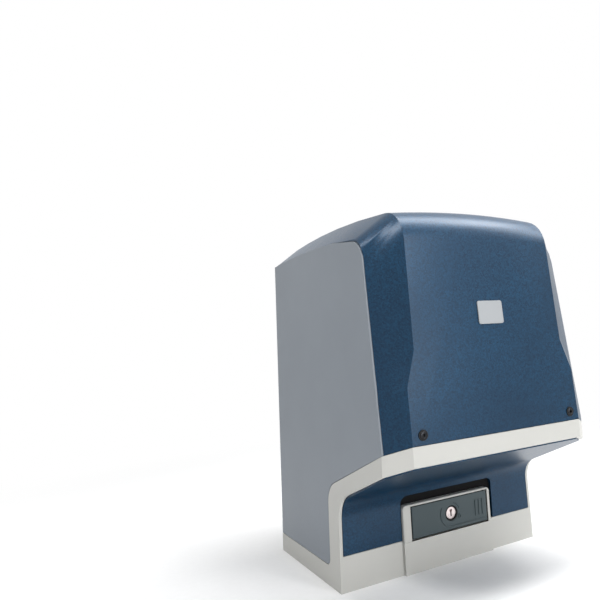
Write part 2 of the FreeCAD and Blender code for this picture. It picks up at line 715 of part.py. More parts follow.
def cover_section(y, z, half, hub_z, inset, side_inset):
    """Closed section of the cover in the plane through the hub line and a crease point.

    The slanted corner runs from the crease over the panel's edge and on to the fan's side.
    """
    edge_y, edge_z = panel_edge(y, z, hub_z, inset)
    away = Vector(0, y - HUB_Y, z - hub_z).normalize()
    middle = Vector(0, y, z) + away * crown_at(z)
    near = Vector(0, HUB_Y, hub_z) + away * HUB_RADIUS
    crease = Vector(-half, y, z)
    slant = Vector(-side_x(edge_z, side_inset), edge_y, edge_z) - crease
    corner = crease + slant * ((FAN_SIDE - half) / -slant.x)
    left = [Vector(-FAN_SIDE, near.y, near.z), corner, crease]
    right = [Vector(-p.x, p.y, p.z) for p in reversed(left)]
    edges = [Part.LineSegment(left[0], left[1]).toShape(), Part.LineSegment(left[1], left[2]).toShape(),
             Part.Arc(left[2], middle, right[0]).toShape(),
             Part.LineSegment(right[0], right[1]).toShape(), Part.LineSegment(right[1], right[2]).toShape(),
             Part.LineSegment(right[2], left[0]).toShape()]
    return Part.Wire(edges)


def cover_solid(inset, side_inset, drop):
    """Cover volume as a fan of sections round a hub line along X, its underside lowered by drop."""
    hub_z = band_z(HUB_Y) + float(S.gap) - drop
    wires = []
    for y, z, half in belt_points(inset):
        start = z if wires else z + float(S.gap) - drop
        wires.append(cover_section(y, start, half, hub_z, inset, side_inset))
    reach = 110.0
    half = float(S.crease_top)
    low = [Vector(-FAN_SIDE, HUB_Y + HUB_RADIUS, hub_z), Vector(-FAN_SIDE, reach - 10, hub_z),
           Vector(-half, reach, hub_z)]
    mirror = [Vector(-p.x, p.y, p.z) for p in reversed(low)]
    arc = Part.Arc(low[2], Vector(0, reach + float(S.crown), hub_z), mirror[0]).toShape()
    wires.append(Part.Wire([Part.LineSegment(low[0], low[1]).toShape(), Part.LineSegment(low[1], low[2]).toShape(),
                            arc, Part.LineSegment(mirror[0], mirror[1]).toShape(),
                            Part.LineSegment(mirror[1], mirror[2]).toShape(),
                            Part.LineSegment(mirror[2], low[0]).toShape()]))
    fan = Part.makeLoft(wires, True, True)
    if fan.Volume < 0:
        fan.reverse()
    far, top = 3 * float(S.width), float(S.top_height) + 50
    sides = [(-side_x(0, side_inset), 0), (side_x(0, side_inset), 0),
             (side_x(top, side_inset), top), (-side_x(top, side_inset), top)]
    return fan.common(prism(sides, -far, FOOT_REAR - inset, "Y"))


def cover_shell():
    """Hollow cover moulding with recesses for the side panels and seats for the screws."""
    wall = float(S.wall)
    proud = float(S.panel_proud)
    recess = float(S.panel_thickness) + float(S.seat_gap)
    outer = cover_solid(0.0, proud, 0.0)
    inner = cover_solid(wall, recess + wall - 0.6, 2 * wall)
    reach = float(S.width)
    pocket = slab(panel_face(float(S.gap)), -reach, reach)
    keep = band_volume(recess)
    pocket = pocket.cut(keep)
    shape = outer.cut([inner, pocket])
    rear_gap = Part.makeBox(2 * reach, 60, float(S.rear_wall_top) + float(S.gap),
                            Vector(-reach, FOOT_REAR - 20, 0))
    shape = shape.cut(rear_gap)
    for side in (-1, 1):
        spot = Vector(side * float(S.screw_x), FRONT - 5, float(S.screw_z))
        shape = shape.cut(Part.makeCylinder(float(S.screw_ring) + 0.2, 5 + 0.9, spot, Vector(0, 1, 0)))
        shape = shape.cut(Part.makeCylinder(2.6, 20, spot, Vector(0, 1, 0)))
    badge = Part.makeBox(float(S.badge_width) + 0.4, 10, float(S.badge_height) + 0.4)
    badge.Placement = badge_placement(-float(S.badge_width) / 2 - 0.2, -float(S.badge_height) / 2 - 0.2, 0.8)
    return feature(shape.cut(badge).removeSplitter(), "CoverShell")


def badge_placement(x, z, sink):
    """Placement on the leaning front face at the badge, sunk by an amount; box runs outwards."""
    lean = math.degrees(math.atan(float(S.front_lean)))
    turn = Rotation(Vector(1, 0, 0), -lean)
    height = float(S.badge_z)
    seat = Vector(0, front_y(height) - crown_at(height) + sink, height)
    return Placement(seat, turn) * Placement(Vector(x, -10, z), Rotation())


def blank_badge():
    """Plain rectangular plate set into the front face."""
    thickness = 1.2
    plate = Part.makeBox(float(S.badge_width), thickness, float(S.badge_height))
    corners = [edge for edge in plate.Edges if abs(edge.tangentAt(0).y) > 0.9]
    plate = plate.makeFillet(2.0, corners)
    spot = badge_placement(-float(S.badge_width) / 2, -float(S.badge_height) / 2, 0.8)
    plate.Placement = spot * Placement(Vector(0, 10 - thickness, 0), Rotation()) * plate.Placement
    return feature(plate, "Badge")


def side_panel(side):
    """Thin panel over the cover's side, lying in the leaning side plane."""
    reach = float(S.width)
    plate = slab(panel_face(0.0), 0, side * reach)
    skin = band_volume(0).cut(band_volume(float(S.panel_thickness)))
    return feature(plate.common(skin).removeSplitter(), "SidePanel")


node(base_frame(), "base_frame")
node(lower_fascia(), "lower_fascia")
node(release_surround(), "release_surround")
node(cover_shell(), "cover_shell")
node(side_panel(-1), "side_panel_left")
node(side_panel(1), "side_panel_right")
node(blank_badge(), "cover_badge")


# ---------------------------------------------------------------- base plate

def slot(x, y):
    """Foundation slot with round ends, along X."""
    half = (S.slot_length - S.slot_radius * 2) / 2
    middle = box(x - half, x + half, y - S.slot_radius, y + S.slot_radius, -1, S.plate_thickness + 1)
    ends = [rod(S.slot_radius, -1, S.plate_thickness + 1, x=x + side * half, y=y) for side in (-1, 1)]
    return fuse(middle, *ends, name="Slot")


plate_x = S.width / 2 - S.wall - S.gap - 0.2
plate_y = S.base_depth / 2 - S.wall - S.gap
CORNERS = [(-1, -1), (1, -1), (1, 1), (-1, 1)]
slots = [slot(S.bolt_x / 2 * i, S.bolt_y / 2 * j) for i, j in CORNERS]
level_y = S.bolt_y / 2 - S.level_inset
level_holes = [rod(S.level_radius + 0.1, -1, S.plate_thickness + 1, x=S.bolt_x / 2 * i, y=level_y * j)
               for i, j in CORNERS]
cable_left, cable_front = 27 - S.bolt_x / 2, 15.6 - plate_y
cable_hole = box(cable_left, cable_left + S.cable_x, cable_front, cable_front + S.cable_y,
                 -1, S.plate_thickness + 1, name="CableHole")

plate_body = body("BasePlate")
plate_outline = draw(plate_body, "PlateOutline", "XY_Plane",
                     [(-plate_x, -plate_y), (plate_x, -plate_y), (plate_x, plate_y), (-plate_x, plate_y)])
pad(plate_body, plate_outline, S.plate_thickness)
node(cut(plate_body, cable_hole, *slots, *level_holes, name="BasePlateCut"), "base_plate")
node(group([rod(S.level_radius, 0, S.plate_thickness + 7, x=S.bolt_x / 2 * i, y=level_y * j, name="LevelScrew")
            for i, j in CORNERS], "LevelScrews"), "levelling_screws")

rim = as_size(3)
grommet_out = box(cable_left - rim, cable_left + S.cable_x + rim, cable_front - rim, cable_front + S.cable_y + rim,
                  S.plate_thickness, S.plate_thickness + 2)
grommet_in = box(cable_left + 0.1, cable_left + S.cable_x - 0.1, cable_front + 0.1, cable_front + S.cable_y - 0.1,
                 0.5, S.plate_thickness)
grommet_hole = box(cable_left + 2, cable_left + S.cable_x - 2, cable_front + 2, cable_front + S.cable_y - 2,
                   0, S.plate_thickness + 3)
node(cut(fuse(grommet_out, grommet_in), grommet_hole, name="Grommet"), "cable_grommet")

# ---------------------------------------------------------------- gear case

axis_z = S.axis_height
worm_x = S.wheel_teeth * S.worm_module / 2 + S.worm_pitch_radius
worm_y = S.wheel_y
cavity_radius = S.case_radius - S.case_wall
case_front = S.wheel_y - S.wheel_width / 2 - 16
case_back = S.wheel_y + S.wheel_width / 2 + 5
front_bearing = case_front - 6
rear_bearing = case_back + 18
seal_start = rear_bearing + S.bearing_width + 1
hub_end = as_size(76)
worm_bearing = as_size(13)
worm_bore = worm_bearing + 0.5
worm_low = S.plate_thickness + 21
tube_top = S.motor_foot - 8

case_solid = fuse(
    rod(S.case_radius, case_front, case_back + 6, z=axis_z, along="Y", name="Drum"),
    cone(S.case_radius, S.bearing_radius + S.case_wall, case_back + 6, case_back + 18, z=axis_z, along="Y"),
    rod(S.bearing_radius + S.case_wall, case_back + 4, hub_end, z=axis_z, along="Y", name="Hub"),
    box(-66, 66, case_front, hub_end - 14, S.plate_thickness, S.plate_thickness + 13, name="CaseFoot"),
    box(-24, 24, case_front + 2, hub_end - 16, S.plate_thickness + 10, axis_z - 22, name="CaseWeb"),
    rod(worm_bore + S.case_wall, S.plate_thickness + 5, tube_top, x=worm_x, y=worm_y, name="WormTube"),
    rod(S.motor_radius - 4, tube_top, S.motor_foot, x=worm_x, y=worm_y, name="MotorSeat"),
    name="CaseSolid")
LID_ANGLES = [15, 75, 135, 195, 255, 315]
lid_screw_pitch = S.case_radius - 4


def lid_spot(angle):
    """X and height of a lid screw."""
    turn = math.radians(angle)
    return lid_screw_pitch * math.cos(turn), axis_z + lid_screw_pitch * math.sin(turn)


lid_holes = [rod(2.5, case_front - 8, case_front + 14, x=lid_spot(a)[0], z=lid_spot(a)[1], along="Y")
             for a in LID_ANGLES]
case_cuts = [
    rod(cavity_radius, case_front - 1, case_back, z=axis_z, along="Y", name="Cavity"),
    rod(S.shaft_radius + 1.5, case_back - 1, rear_bearing + 1, z=axis_z, along="Y"),
    rod(S.bearing_radius, rear_bearing, hub_end + 1, z=axis_z, along="Y"),
    rod(worm_bore, worm_low + 11, S.motor_foot + 1, x=worm_x, y=worm_y),
    rod(worm_bearing, worm_low, worm_low + 12, x=worm_x, y=worm_y),
]
node(cut(case_solid, *case_cuts, *lid_holes, name="GearCase"), "gear_case")

lid_solid = fuse(rod(S.case_radius, front_bearing, case_front, z=axis_z, along="Y"),
                 rod(S.bearing_radius + S.case_wall, front_bearing - 6, front_bearing, z=axis_z, along="Y"),
                 rod(S.bearing_radius + 5, case_front, case_front + 10, z=axis_z, along="Y"))
node(cut(lid_solid, rod(S.bearing_radius, front_bearing, case_front + 11, z=axis_z, along="Y"),
         rod(5, front_bearing - 7, front_bearing + 1, z=axis_z, along="Y"), *lid_holes, name="Lid"), "gear_case_lid")
node(group([fuse(hexagon(4.6, front_bearing - 4, front_bearing, x=lid_spot(a)[0], z=lid_spot(a)[1], along="Y"),
                 rod(2.4, front_bearing - 1, case_front + 12, x=lid_spot(a)[0], z=lid_spot(a)[1], along="Y"))
            for a in LID_ANGLES], "LidScrews"), "gear_case_screws")

node(ring(S.bearing_radius - 0.02, S.shaft_radius + S.fit_gap, front_bearing, front_bearing + S.bearing_width,
          z=axis_z, along="Y"), "shaft_bearing_front")
node(ring(S.bearing_radius - 0.02, S.shaft_radius + S.fit_gap, rear_bearing, rear_bearing + S.bearing_width,
          z=axis_z, along="Y"), "shaft_bearing_rear")
node(ring(S.bearing_radius - 0.02, S.shaft_radius + S.fit_gap, seal_start, seal_start + 7,
          z=axis_z, along="Y"), "shaft_oil_seal")
node(ring(worm_bearing - 0.02, S.worm_shaft_radius + S.fit_gap, worm_low, worm_low + 10,
          x=worm_x, y=worm_y), "worm_bearing_lower")
node(ring(worm_bore - 0.02, S.worm_shaft_radius + S.fit_gap, tube_top - 12, tube_top,
          x=worm_x, y=worm_y), "worm_bearing_upper")

# ---------------------------------------------------------------- output shaft and pinion

pinion_end = S.pinion_start + S.pinion_width
shaft_end = pinion_end - 0.5
wheel_front = S.wheel_y - S.wheel_width / 2 - 2
wheel_back = S.wheel_y + S.wheel_width / 2 + 2
wheel_seat = S.shaft_radius + 2.5
bolt_radius = as_size(4)
pin_bore = as_size(4.2)
pin_depth = front_bearing + 18

shaft_body = body("OutputShaft")
place(shaft_body, 0, 0, axis_z)
shaft_half = draw(shaft_body, "ShaftProfile", "YZ_Plane", [
    (front_bearing, pin_bore), (front_bearing, S.shaft_radius),
    (front_bearing + S.bearing_width + 0.3, S.shaft_radius), (front_bearing + S.bearing_width + 0.3, wheel_seat),
    (wheel_back, wheel_seat), (wheel_back, S.shaft_radius + 1), (rear_bearing - 0.3, S.shaft_radius + 1),
    (rear_bearing - 0.3, S.shaft_radius), (S.pinion_start, S.shaft_radius), (S.pinion_start, S.pinion_bore),
    (shaft_end, S.pinion_bore), (shaft_end, bolt_radius), (shaft_end - 20, bolt_radius),
    (shaft_end - 20, 0), (pin_depth, 0), (pin_depth, pin_bore)])
shaft_turn = shaft_body.newObject("PartDesign::Revolution", "ShaftTurned")
shaft_turn.Profile = shaft_half
shaft_turn.ReferenceAxis = (shaft_half, ["H_Axis"])
shaft_turn.Angle = 360
doc.recompute()


def key_block(name):
    """Key between pinion and shaft."""
    return box(-3, 3, S.pinion_start + 1.5, pinion_end - 3, axis_z + S.pinion_bore - 3.5,
               axis_z + S.pinion_bore + 2.8, name=name)


node(cut(shaft_body, key_block("ShaftKeyway"), name="ShaftCut"), "output_shaft")
node(key_block("Key"), "pinion_key")


def gear_outline(teeth, module, pressure_angle=20.0):
    """Closed outline of a spur gear in the XZ plane, each involute flank drawn as chords."""
    pitch = module * teeth / 2
    base = pitch * math.cos(math.radians(pressure_angle))
    tip, root = pitch + module, pitch - 1.25 * module
    involute = math.tan(math.radians(pressure_angle)) - math.radians(pressure_angle)
    half = math.pi / (2 * teeth) - 0.02 + involute

    def flank(radius):
        """Half angle of the tooth at a radius: pitch half angle less the involute of its angle."""
        angle = math.acos(min(base / radius, 1.0))
        return half - (math.tan(angle) - angle)

    def point(radius, angle):
        return Vector(radius * math.cos(angle), 0, radius * math.sin(angle))

    start = max(base, root)
    chords = 4
    radii = [root] + [start + (tip - start) * step / chords for step in range(chords + 1)]
    corners = []
    for tooth in range(teeth):
        middle = 2 * math.pi * tooth / teeth + math.pi / 2
        corners += [point(r, middle - flank(r)) for r in radii]
        corners += [point(r, middle + flank(r)) for r in reversed(radii)]
    return Part.makePolygon(corners + corners[:1])


def pinion():
    """Rack pinion with involute teeth, shaft bore and keyway."""
    outline = gear_outline(int(float(S.pinion_teeth)), float(S.pinion_module))
    blank = Part.Face(outline).extrude(Vector(0, float(S.pinion_width), 0))
    bore = Part.makeCylinder(float(S.pinion_bore) + 0.02, float(S.pinion_width), Vector(), Vector(0, 1, 0))
    keyway = Part.makeBox(6, float(S.pinion_width), float(S.pinion_bore) + 2.9, Vector(-3, 0, 0))
    blank = blank.cut([bore, keyway])
    blank.translate(Vector(0, float(S.pinion_start), float(S.axis_height)))
    return feature(blank, "Pinion")


def worm_wheel():
    """Worm wheel whose slanted teeth follow the lead of the worm."""
    module = float(S.worm_module)
    teeth = int(float(S.wheel_teeth))
    pitch = module * teeth / 2
    width = float(S.wheel_width)
    slack = float(S.mesh_gap)
    slope = math.tan(math.radians(20))
    tip, root = pitch + module, pitch - 1.25 * module
    tip_half = math.pi * module / 4 - slack / 2 - module * slope
    root_half = math.pi * module / 4 - slack / 2 + 1.25 * module * slope
    lead = module / (2 * float(S.worm_pitch_radius))
    twist = lead * width / 2 / pitch

    def outline(turn, y):
        corners = []
        for tooth in range(teeth):
            middle = 2 * math.pi * (tooth + 0.5) / teeth + turn
            for radius, half in ((root, -root_half), (tip, -tip_half), (tip, tip_half), (root, root_half)):
                angle = middle + half / pitch
                corners.append(Vector(radius * math.cos(angle), y, -radius * math.sin(angle)))
        return Part.makePolygon(corners + corners[:1])

    toothed = Part.makeLoft([outline(-twist, -width / 2), outline(twist, width / 2)], True, True)
    bore = float(S.shaft_radius) + 2.52
    hub = Part.makeCylinder(bore + 8, width + 4, Vector(0, -width / 2 - 2, 0), Vector(0, 1, 0))
    hole = Part.makeCylinder(bore, width + 8, Vector(0, -width / 2 - 4, 0), Vector(0, 1, 0))
    shape = toothed.fuse(hub).cut(hole)
    shape.translate(Vector(0, float(S.wheel_y), float(S.axis_height)))
    return feature(shape, "WormWheel")


def worm_shaft():
    """Worm with a helical thread, its journals and the motor's shaft, all in one piece."""
    module = float(S.worm_module)
    pitch_radius = float(S.worm_pitch_radius)
    lead = math.pi * module
    slack = float(S.mesh_gap)
    slope = math.tan(math.radians(20))
    tip, root = pitch_radius + module, pitch_radius - 1.25 * module
    tip_half = lead / 4 - slack / 2 - module * slope
    root_half = lead / 4 - slack / 2 + 1.25 * module * slope
    turns, steps = 3, 12
    sections = []
    for i in range(turns * steps + 1):
        angle = math.pi + 2 * math.pi * (i - turns * steps / 2) / steps
        rise = lead * (i - turns * steps / 2) / steps
        out = Vector(math.cos(angle), math.sin(angle), 0)
        corners = [out * (root - 0.4) + Vector(0, 0, rise - root_half), out * tip + Vector(0, 0, rise - tip_half),
                   out * tip + Vector(0, 0, rise + tip_half), out * (root - 0.4) + Vector(0, 0, rise + root_half)]
        sections.append(Part.makePolygon(corners + corners[:1]))
    thread = Part.makeLoft(sections, True, True)
    axis_low = -float(S.axis_height)
    journal = float(S.worm_shaft_radius)
    low = float(worm_low) + axis_low + 0.5
    top = float(S.motor_foot) + float(S.motor_length) + axis_low
    core = Part.makeCylinder(root, 60, Vector(0, 0, -30))
    rods = [Part.makeCylinder(journal, top - low, Vector(0, 0, low)),
            Part.makeCylinder(journal - 1, 8, Vector(0, 0, top))]
    shape = core.fuse([thread] + rods)
    shape.translate(Vector(float(worm_x), float(worm_y), float(S.axis_height)))
    return feature(shape, "WormShaft")


node(pinion(), "output_pinion")
node(worm_wheel(), "worm_wheel")
node(worm_shaft(), "worm_shaft")
node(ring(14, bolt_radius + 0.3, pinion_end, pinion_end + 3, z=axis_z, along="Y"), "pinion_washer")
bolt_head = rod(6.5, pinion_end + 3, pinion_end + 10, z=axis_z, along="Y")
bolt_socket = rod(3.4, pinion_end + 6, pinion_end + 11, z=axis_z, along="Y")
bolt_shank = rod(bolt_radius - 0.05, shaft_end - 18, pinion_end + 4, z=axis_z, along="Y")
node(cut(fuse(bolt_head, bolt_shank), bolt_socket, name="PinionBolt"), "pinion_bolt")

# ---------------------------------------------------------------- motor

can_low = S.motor_foot + 6
can_top = S.motor_foot + S.motor_length
can_inner = S.motor_radius - 4
node(ring(S.motor_radius, worm_bore, S.motor_foot, can_low, x=worm_x, y=worm_y), "motor_flange")
node(ring(S.motor_radius, can_inner, can_low, can_top, x=worm_x, y=worm_y), "motor_can")
bell = fuse(rod(S.motor_radius, can_top, can_top + 7, x=worm_x, y=worm_y),
            rod(14, can_top + 6, can_top + 13, x=worm_x, y=worm_y))
node(cut(bell, rod(S.worm_shaft_radius - 1 + S.fit_gap, can_top - 1, can_top + 9, x=worm_x, y=worm_y),
         name="Bell"), "motor_end_bell")
magnet_ring = ring(can_inner - 0.02, can_inner - 4, can_low + 12, can_top - 18, x=worm_x, y=worm_y)
magnet_split = box(worm_x - 60, worm_x + 60, worm_y - 9, worm_y + 9, can_low, can_top)
node(cut(magnet_ring, magnet_split, name="Magnets"), "motor_magnets")
node(ring(can_inner - 5, S.worm_shaft_radius + 0.02, can_low + 14, can_top - 20, x=worm_x, y=worm_y), "rotor_core")
node(ring(11, S.worm_shaft_radius + 0.02, can_top - 16, can_top - 3, x=worm_x, y=worm_y), "commutator")
node(group([box(worm_x + 11.4 * side - 12 + 12 * side, worm_x + 11.4 * side + 12 + 12 * side,
                worm_y - 4, worm_y + 4, can_top - 14, can_top - 5) for side in (-1, 1)],
           "Brushes"), "brush_holders")

# ---------------------------------------------------------------- release mechanism

pin_x = -S.door_left + S.barrel_radius
door_face = -S.base_depth / 2 - S.surround_proud + S.door_recess
pin_y = door_face + S.barrel_radius
leaf_back = door_face + S.door_thickness
soft = as_size(1.5)
leaf = fuse(
    box(-S.door_left + soft, S.door_right, door_face, leaf_back, S.door_bottom, S.door_top, name="Leaf"),
    rod(soft, S.door_bottom, S.door_top, x=-S.door_left + soft, y=door_face + soft),
    box(-S.door_left, -S.door_left + soft, door_face + soft, leaf_back, S.door_bottom, S.door_top),
    rod(S.barrel_radius, S.door_bottom, S.door_top, x=pin_x, y=pin_y, name="Barrel"),
    name="LeafWithBarrel")
grip_ribs = [box(S.door_right - inset - 0.8, S.door_right - inset + 0.8, door_face - 0.7, door_face + 1,
                 S.door_bottom + 7, S.door_top - 7, name="GripRib")
             for inset in (S.grip_pitch + 0.4, S.grip_pitch * 2 + 0.4, S.grip_pitch * 3 + 0.4)]
ridge_front, ridge_out = door_face - S.ridge_proud, S.ridge_radius + S.ridge_width
ridge_arc = cut(ring(ridge_out, S.ridge_radius, ridge_front, door_face + 1, x=S.lock_x, z=S.lock_z, along="Y"),
                box(S.lock_x, S.lock_x + ridge_out + 1, ridge_front - 1, door_face + 2,
                    S.lock_z - ridge_out - 1, S.lock_z + ridge_out + 1),
                box(S.lock_x - ridge_out - 1, S.lock_x + 1, ridge_front - 1, door_face + 2,
                    S.lock_z + ridge_out / 2, S.lock_z + ridge_out + 1), name="RidgeArc")
ridge_line = box(S.lock_x, S.door_right - 1, ridge_front, door_face + 1, S.lock_z - ridge_out,
                 S.lock_z - S.ridge_radius, name="RidgeLine")
lock_ridge = fuse(ridge_arc, ridge_line, name="LockRidge")
finger = doc.addObject("Part::Box", "Finger")
bind(finger, "Length", S.finger_length)
bind(finger, "Width", S.finger_width)
bind(finger, "Height", S.slide_height - S.seat_gap * 2)
finger_turn = math.radians(135)
place(finger, pin_x + S.finger_width / 2 * math.sin(finger_turn), pin_y - S.finger_width / 2 * math.cos(finger_turn),
      S.slide_bottom + S.seat_gap, rotation=Rotation(Vector(0, 0, 1), 135))
door_solid = fuse(leaf, lock_ridge, finger, *grip_ribs, name="DoorSolid")
node(cut(door_solid, rod(S.hinge_pin_radius + S.fit_gap, S.door_bottom - 1, S.door_top + 1, x=pin_x, y=pin_y),
         rod(S.sleeve_radius + 0.02, door_face - 2, leaf_back + 1, x=S.lock_x, z=S.lock_z, along="Y"),
         name="Door"), "release_door")
node(rod(S.hinge_pin_radius, S.door_bottom - S.door_gap - 7.5, S.surround_top - 0.8, x=pin_x, y=pin_y, name="HingePin"),
     "door_hinge_pin")

lock_front = door_face - S.lock_proud
lock_back = lock_front + S.lock_length
lock_at = {"x": S.lock_x, "z": S.lock_z, "along": "Y"}
node(ring(S.sleeve_radius, S.lock_radius + S.fit_gap, lock_front + 0.4, lock_back - 0.3, **lock_at), "lock_sleeve")
key_slot = box(S.lock_x - 0.9, S.lock_x + 0.9, lock_front - 1, lock_front + 6, S.lock_z - 4, S.lock_z + 4)
node(cut(rod(S.lock_radius, lock_front, lock_back, **lock_at), key_slot, name="LockCylinder"), "lock_cylinder")
cam_back = lock_back + S.cam_thickness
cam_plate = box(S.lock_x, S.lock_x + S.cam_length, lock_back, cam_back, S.lock_z - 3.5, S.lock_z + 3.5)
node(fuse(cam_plate, rod(S.lock_radius - 0.4, lock_back, cam_back, **lock_at), name="Cam"), "lock_tongue")
node(rod(S.lock_radius / 2, cam_back, cam_back + 2, **lock_at), "lock_tongue_screw")

slide_front = pin_y + S.finger_length + 1.2
slide_back = slide_front + 4
lug_at = pin_x - 1.33
slide_top = S.slide_bottom + S.slide_height
ramp_body = body("SlideRamp")
place(ramp_body, 0, 0, S.slide_bottom)
ramp_rise = S.yoke_travel + 1
ramp_outline = draw(ramp_body, "RampOutline", "XY_Plane",
                    [(-2, slide_back - 2), (20, slide_back - 2), (20, slide_back),
                     (20 - ramp_rise * 2, slide_back + ramp_rise), (-2, slide_back + ramp_rise)])
pad(ramp_body, ramp_outline, S.slide_height)
node(fuse(box(-37, 20, slide_front, slide_back, S.slide_bottom, slide_top),
          rod(1.5, S.slide_bottom, slide_top, x=lug_at, y=pin_y + 6),
          box(lug_at, lug_at + 1.5, pin_y + 6, slide_front + 1, S.slide_bottom, slide_top),
          ramp_body, name="Slide"), "release_slide")
guide_gap = S.seat_gap
node(cut(box(-14, -4, slide_front - 3, slide_back + 3, S.plate_thickness, slide_top + 4),
         box(-15, -3, slide_front - guide_gap, slide_back + guide_gap,
             S.slide_bottom - guide_gap, slide_top + guide_gap), name="SlideGuide"), "slide_guide")

yoke_front = slide_back + 10
nose_gap = S.seat_gap * 1.12
nose_body = body("YokeNose")
place(nose_body, 0, 0, S.slide_bottom)
nose_outline = draw(nose_body, "NoseOutline", "XY_Plane",
                    [(8, slide_back + 6 + nose_gap), (20, slide_back + nose_gap), (20, yoke_front + 1),
                     (8, yoke_front + 1)])
pad(nose_body, nose_outline, S.slide_height)
stem_z = S.slide_bottom + S.slide_height / 2
node(fuse(nose_body, box(-6, 18, yoke_front, yoke_front + 4, stem_z - 4, axis_z + 6, name="YokeArm"),
          rod(4, yoke_front + 3, yoke_front + 20, x=14, z=stem_z, along="Y"),
          rod(3.5, yoke_front + 3, front_bearing + 11, z=axis_z, along="Y"), name="Yoke"), "release_yoke")
node(cut(box(4, 24, yoke_front + 11, yoke_front + 22, S.plate_thickness, stem_z + 8),
         rod(4 + S.fit_gap, yoke_front + 10, yoke_front + 23, x=14, z=stem_z, along="Y"),
         name="YokeGuide"), "yoke_guide")

# ---------------------------------------------------------------- cover screws

cover_screws, screw_rings = [], []
screw_seat = -S.base_depth / 2 - S.overhang + 0.9
for side in (-1, 1):
    at = {"x": S.screw_x * side, "z": S.screw_z, "along": "Y"}
    head = fuse(rod(S.screw_radius, screw_seat - 1.8, screw_seat, **at), rod(1.95, screw_seat - 1, screw_seat + 12, **at))
    cover_screws.append(cut(head, rod(S.screw_radius / 2, screw_seat - 3, screw_seat - 0.5, **at), name="CoverScrew"))
    screw_rings.append(ring(S.screw_ring, S.screw_radius + 0.1, screw_seat - 1.1, screw_seat, **at))
node(group(cover_screws, "CoverScrews"), "cover_screws")
node(group(screw_rings, "ScrewRings"), "cover_screw_rings")

# ---------------------------------------------------------------- electronics

carrier_front = -S.carrier_y
carrier_back = carrier_front + 3
carrier_top = S.board_bottom + S.board_height + 12
board_back = carrier_front - 8
board_front = board_back - 1.6
BOARD_SPOTS = [(i, j) for i in (-1, 1) for j in (0, 1)]
board_x = S.board_width / 2 - 7


def board_z(level):
    """Height of a row of board screws."""
    return S.board_bottom + 7 + level * (S.board_height - 14)


carrier_half = S.width / 2 - 25
flange_x, foot_x = carrier_half - 1.5, carrier_half - 22
carrier_solid = fuse(
    box(-carrier_half, carrier_half, carrier_front, carrier_back, S.plate_thickness, carrier_top,
        name="CarrierPlate"),
    *[box(side * flange_x - 1.5, side * flange_x + 1.5, carrier_back - 1, carrier_back + 9,
          S.plate_thickness, carrier_top) for side in (-1, 1)],
    *[box(side * foot_x - 4, side * foot_x + 4, carrier_back - 1, carrier_back + 12, S.plate_thickness,
          S.plate_thickness + 3) for side in (-1, 1)],
    *[rod(4, board_back, carrier_front + 1, x=board_x * i, z=board_z(j), along="Y") for i, j in BOARD_SPOTS])
arch = box(-62, 62, carrier_front - 1, carrier_back + 1, S.plate_thickness - 1, 78, name="Arch")
screw_holes = [rod(1.6, board_front - 1, carrier_front + 0.5, x=board_x * i, z=board_z(j), along="Y")
               for i, j in BOARD_SPOTS]
node(cut(carrier_solid, arch, *screw_holes, name="Carrier"), "electronics_carrier")
node(cut(box(-S.board_width / 2, S.board_width / 2, board_front, board_back, S.board_bottom,
             S.board_bottom + S.board_height), *screw_holes, name="Board"), "control_board")
node(group([fuse(rod(3.4, board_front - 2.4, board_front, x=board_x * i, z=board_z(j), along="Y"),
                 rod(1.5, board_front - 1, carrier_front, x=board_x * i, z=board_z(j), along="Y"))
            for i, j in BOARD_SPOTS], "BoardScrews"), "board_screws")


def on_board(x, z, width, height, depth, name):
    """Block on the board's front face, centred at x, with its lower edge z above the board's."""
    return box(x - width / 2, x + width / 2, board_front - depth, board_front,
               S.board_bottom + z, S.board_bottom + z + height, name=name)


node(group([on_board(x, 3, 20, 11, 12, "TerminalBlock") for x in (-44, -22, 0, 22, 44)], "Terminals"),
     "terminal_blocks")
node(group([on_board(x, 92, 20, 16, 17, "Relay") for x in (-42, -18, 6)], "Relays"), "relays")
node(group([rod(8, board_front - 26, board_front, x=x, z=S.board_bottom + 56, along="Y", name="Capacitor")
            for x in (-56, -36)], "Capacitors"), "board_capacitors")
node(on_board(50, 62, 30, 9, 11, "FuseHolder"), "fuse_holder")
node(on_board(12, 60, 28, 14, 7, "Display"), "display_module")
node(on_board(8, 34, 14, 14, 2, "Processor"), "processor_chip")

shelf_top = S.shelf_height + 3
shelf_left = 13 - S.width / 2
node(fuse(box(shelf_left, shelf_left + 70, -14, 38, S.shelf_height, shelf_top, name="ShelfTop"),
          box(shelf_left, shelf_left + 3, -14, 38, S.plate_thickness, shelf_top),
          box(shelf_left + 28, shelf_left + 31, -14, 38, S.plate_thickness, shelf_top),
          box(shelf_left + 2, shelf_left + 10, -14, 38, S.plate_thickness, S.plate_thickness + 3),
          name="Shelf"), "transformer_shelf")
core_left, core_length, core_leg, window_width = shelf_left + 4, 62, 10, 11
core_block = box(core_left, core_left + core_length, 0, 26, shelf_top, shelf_top + 52)
window_at = [core_left + core_leg, core_left + core_length - core_leg - window_width]
windows = [box(x, x + window_width, -1, 27, shelf_top + 10, shelf_top + 42) for x in window_at]
node(cut(core_block, *windows, name="Core"), "transformer_core")
coil_gap = S.seat_gap
node(cut(box(window_at[0] + coil_gap, window_at[1] + window_width - coil_gap, -11, 37,
             shelf_top + 10 + coil_gap, shelf_top + 42 - coil_gap),
         box(window_at[0] + window_width - 0.2, window_at[1] + 0.2, -0.2, 26.2, shelf_top + 10, shelf_top + 42),
         name="Coil"), "transformer_coil")
node(box(46, 74, 58, FOOT_REAR - float(S.wall), 98, 120, name="LimitSensor"), "limit_sensor")


# ---------------------------------------------------------------- check and export

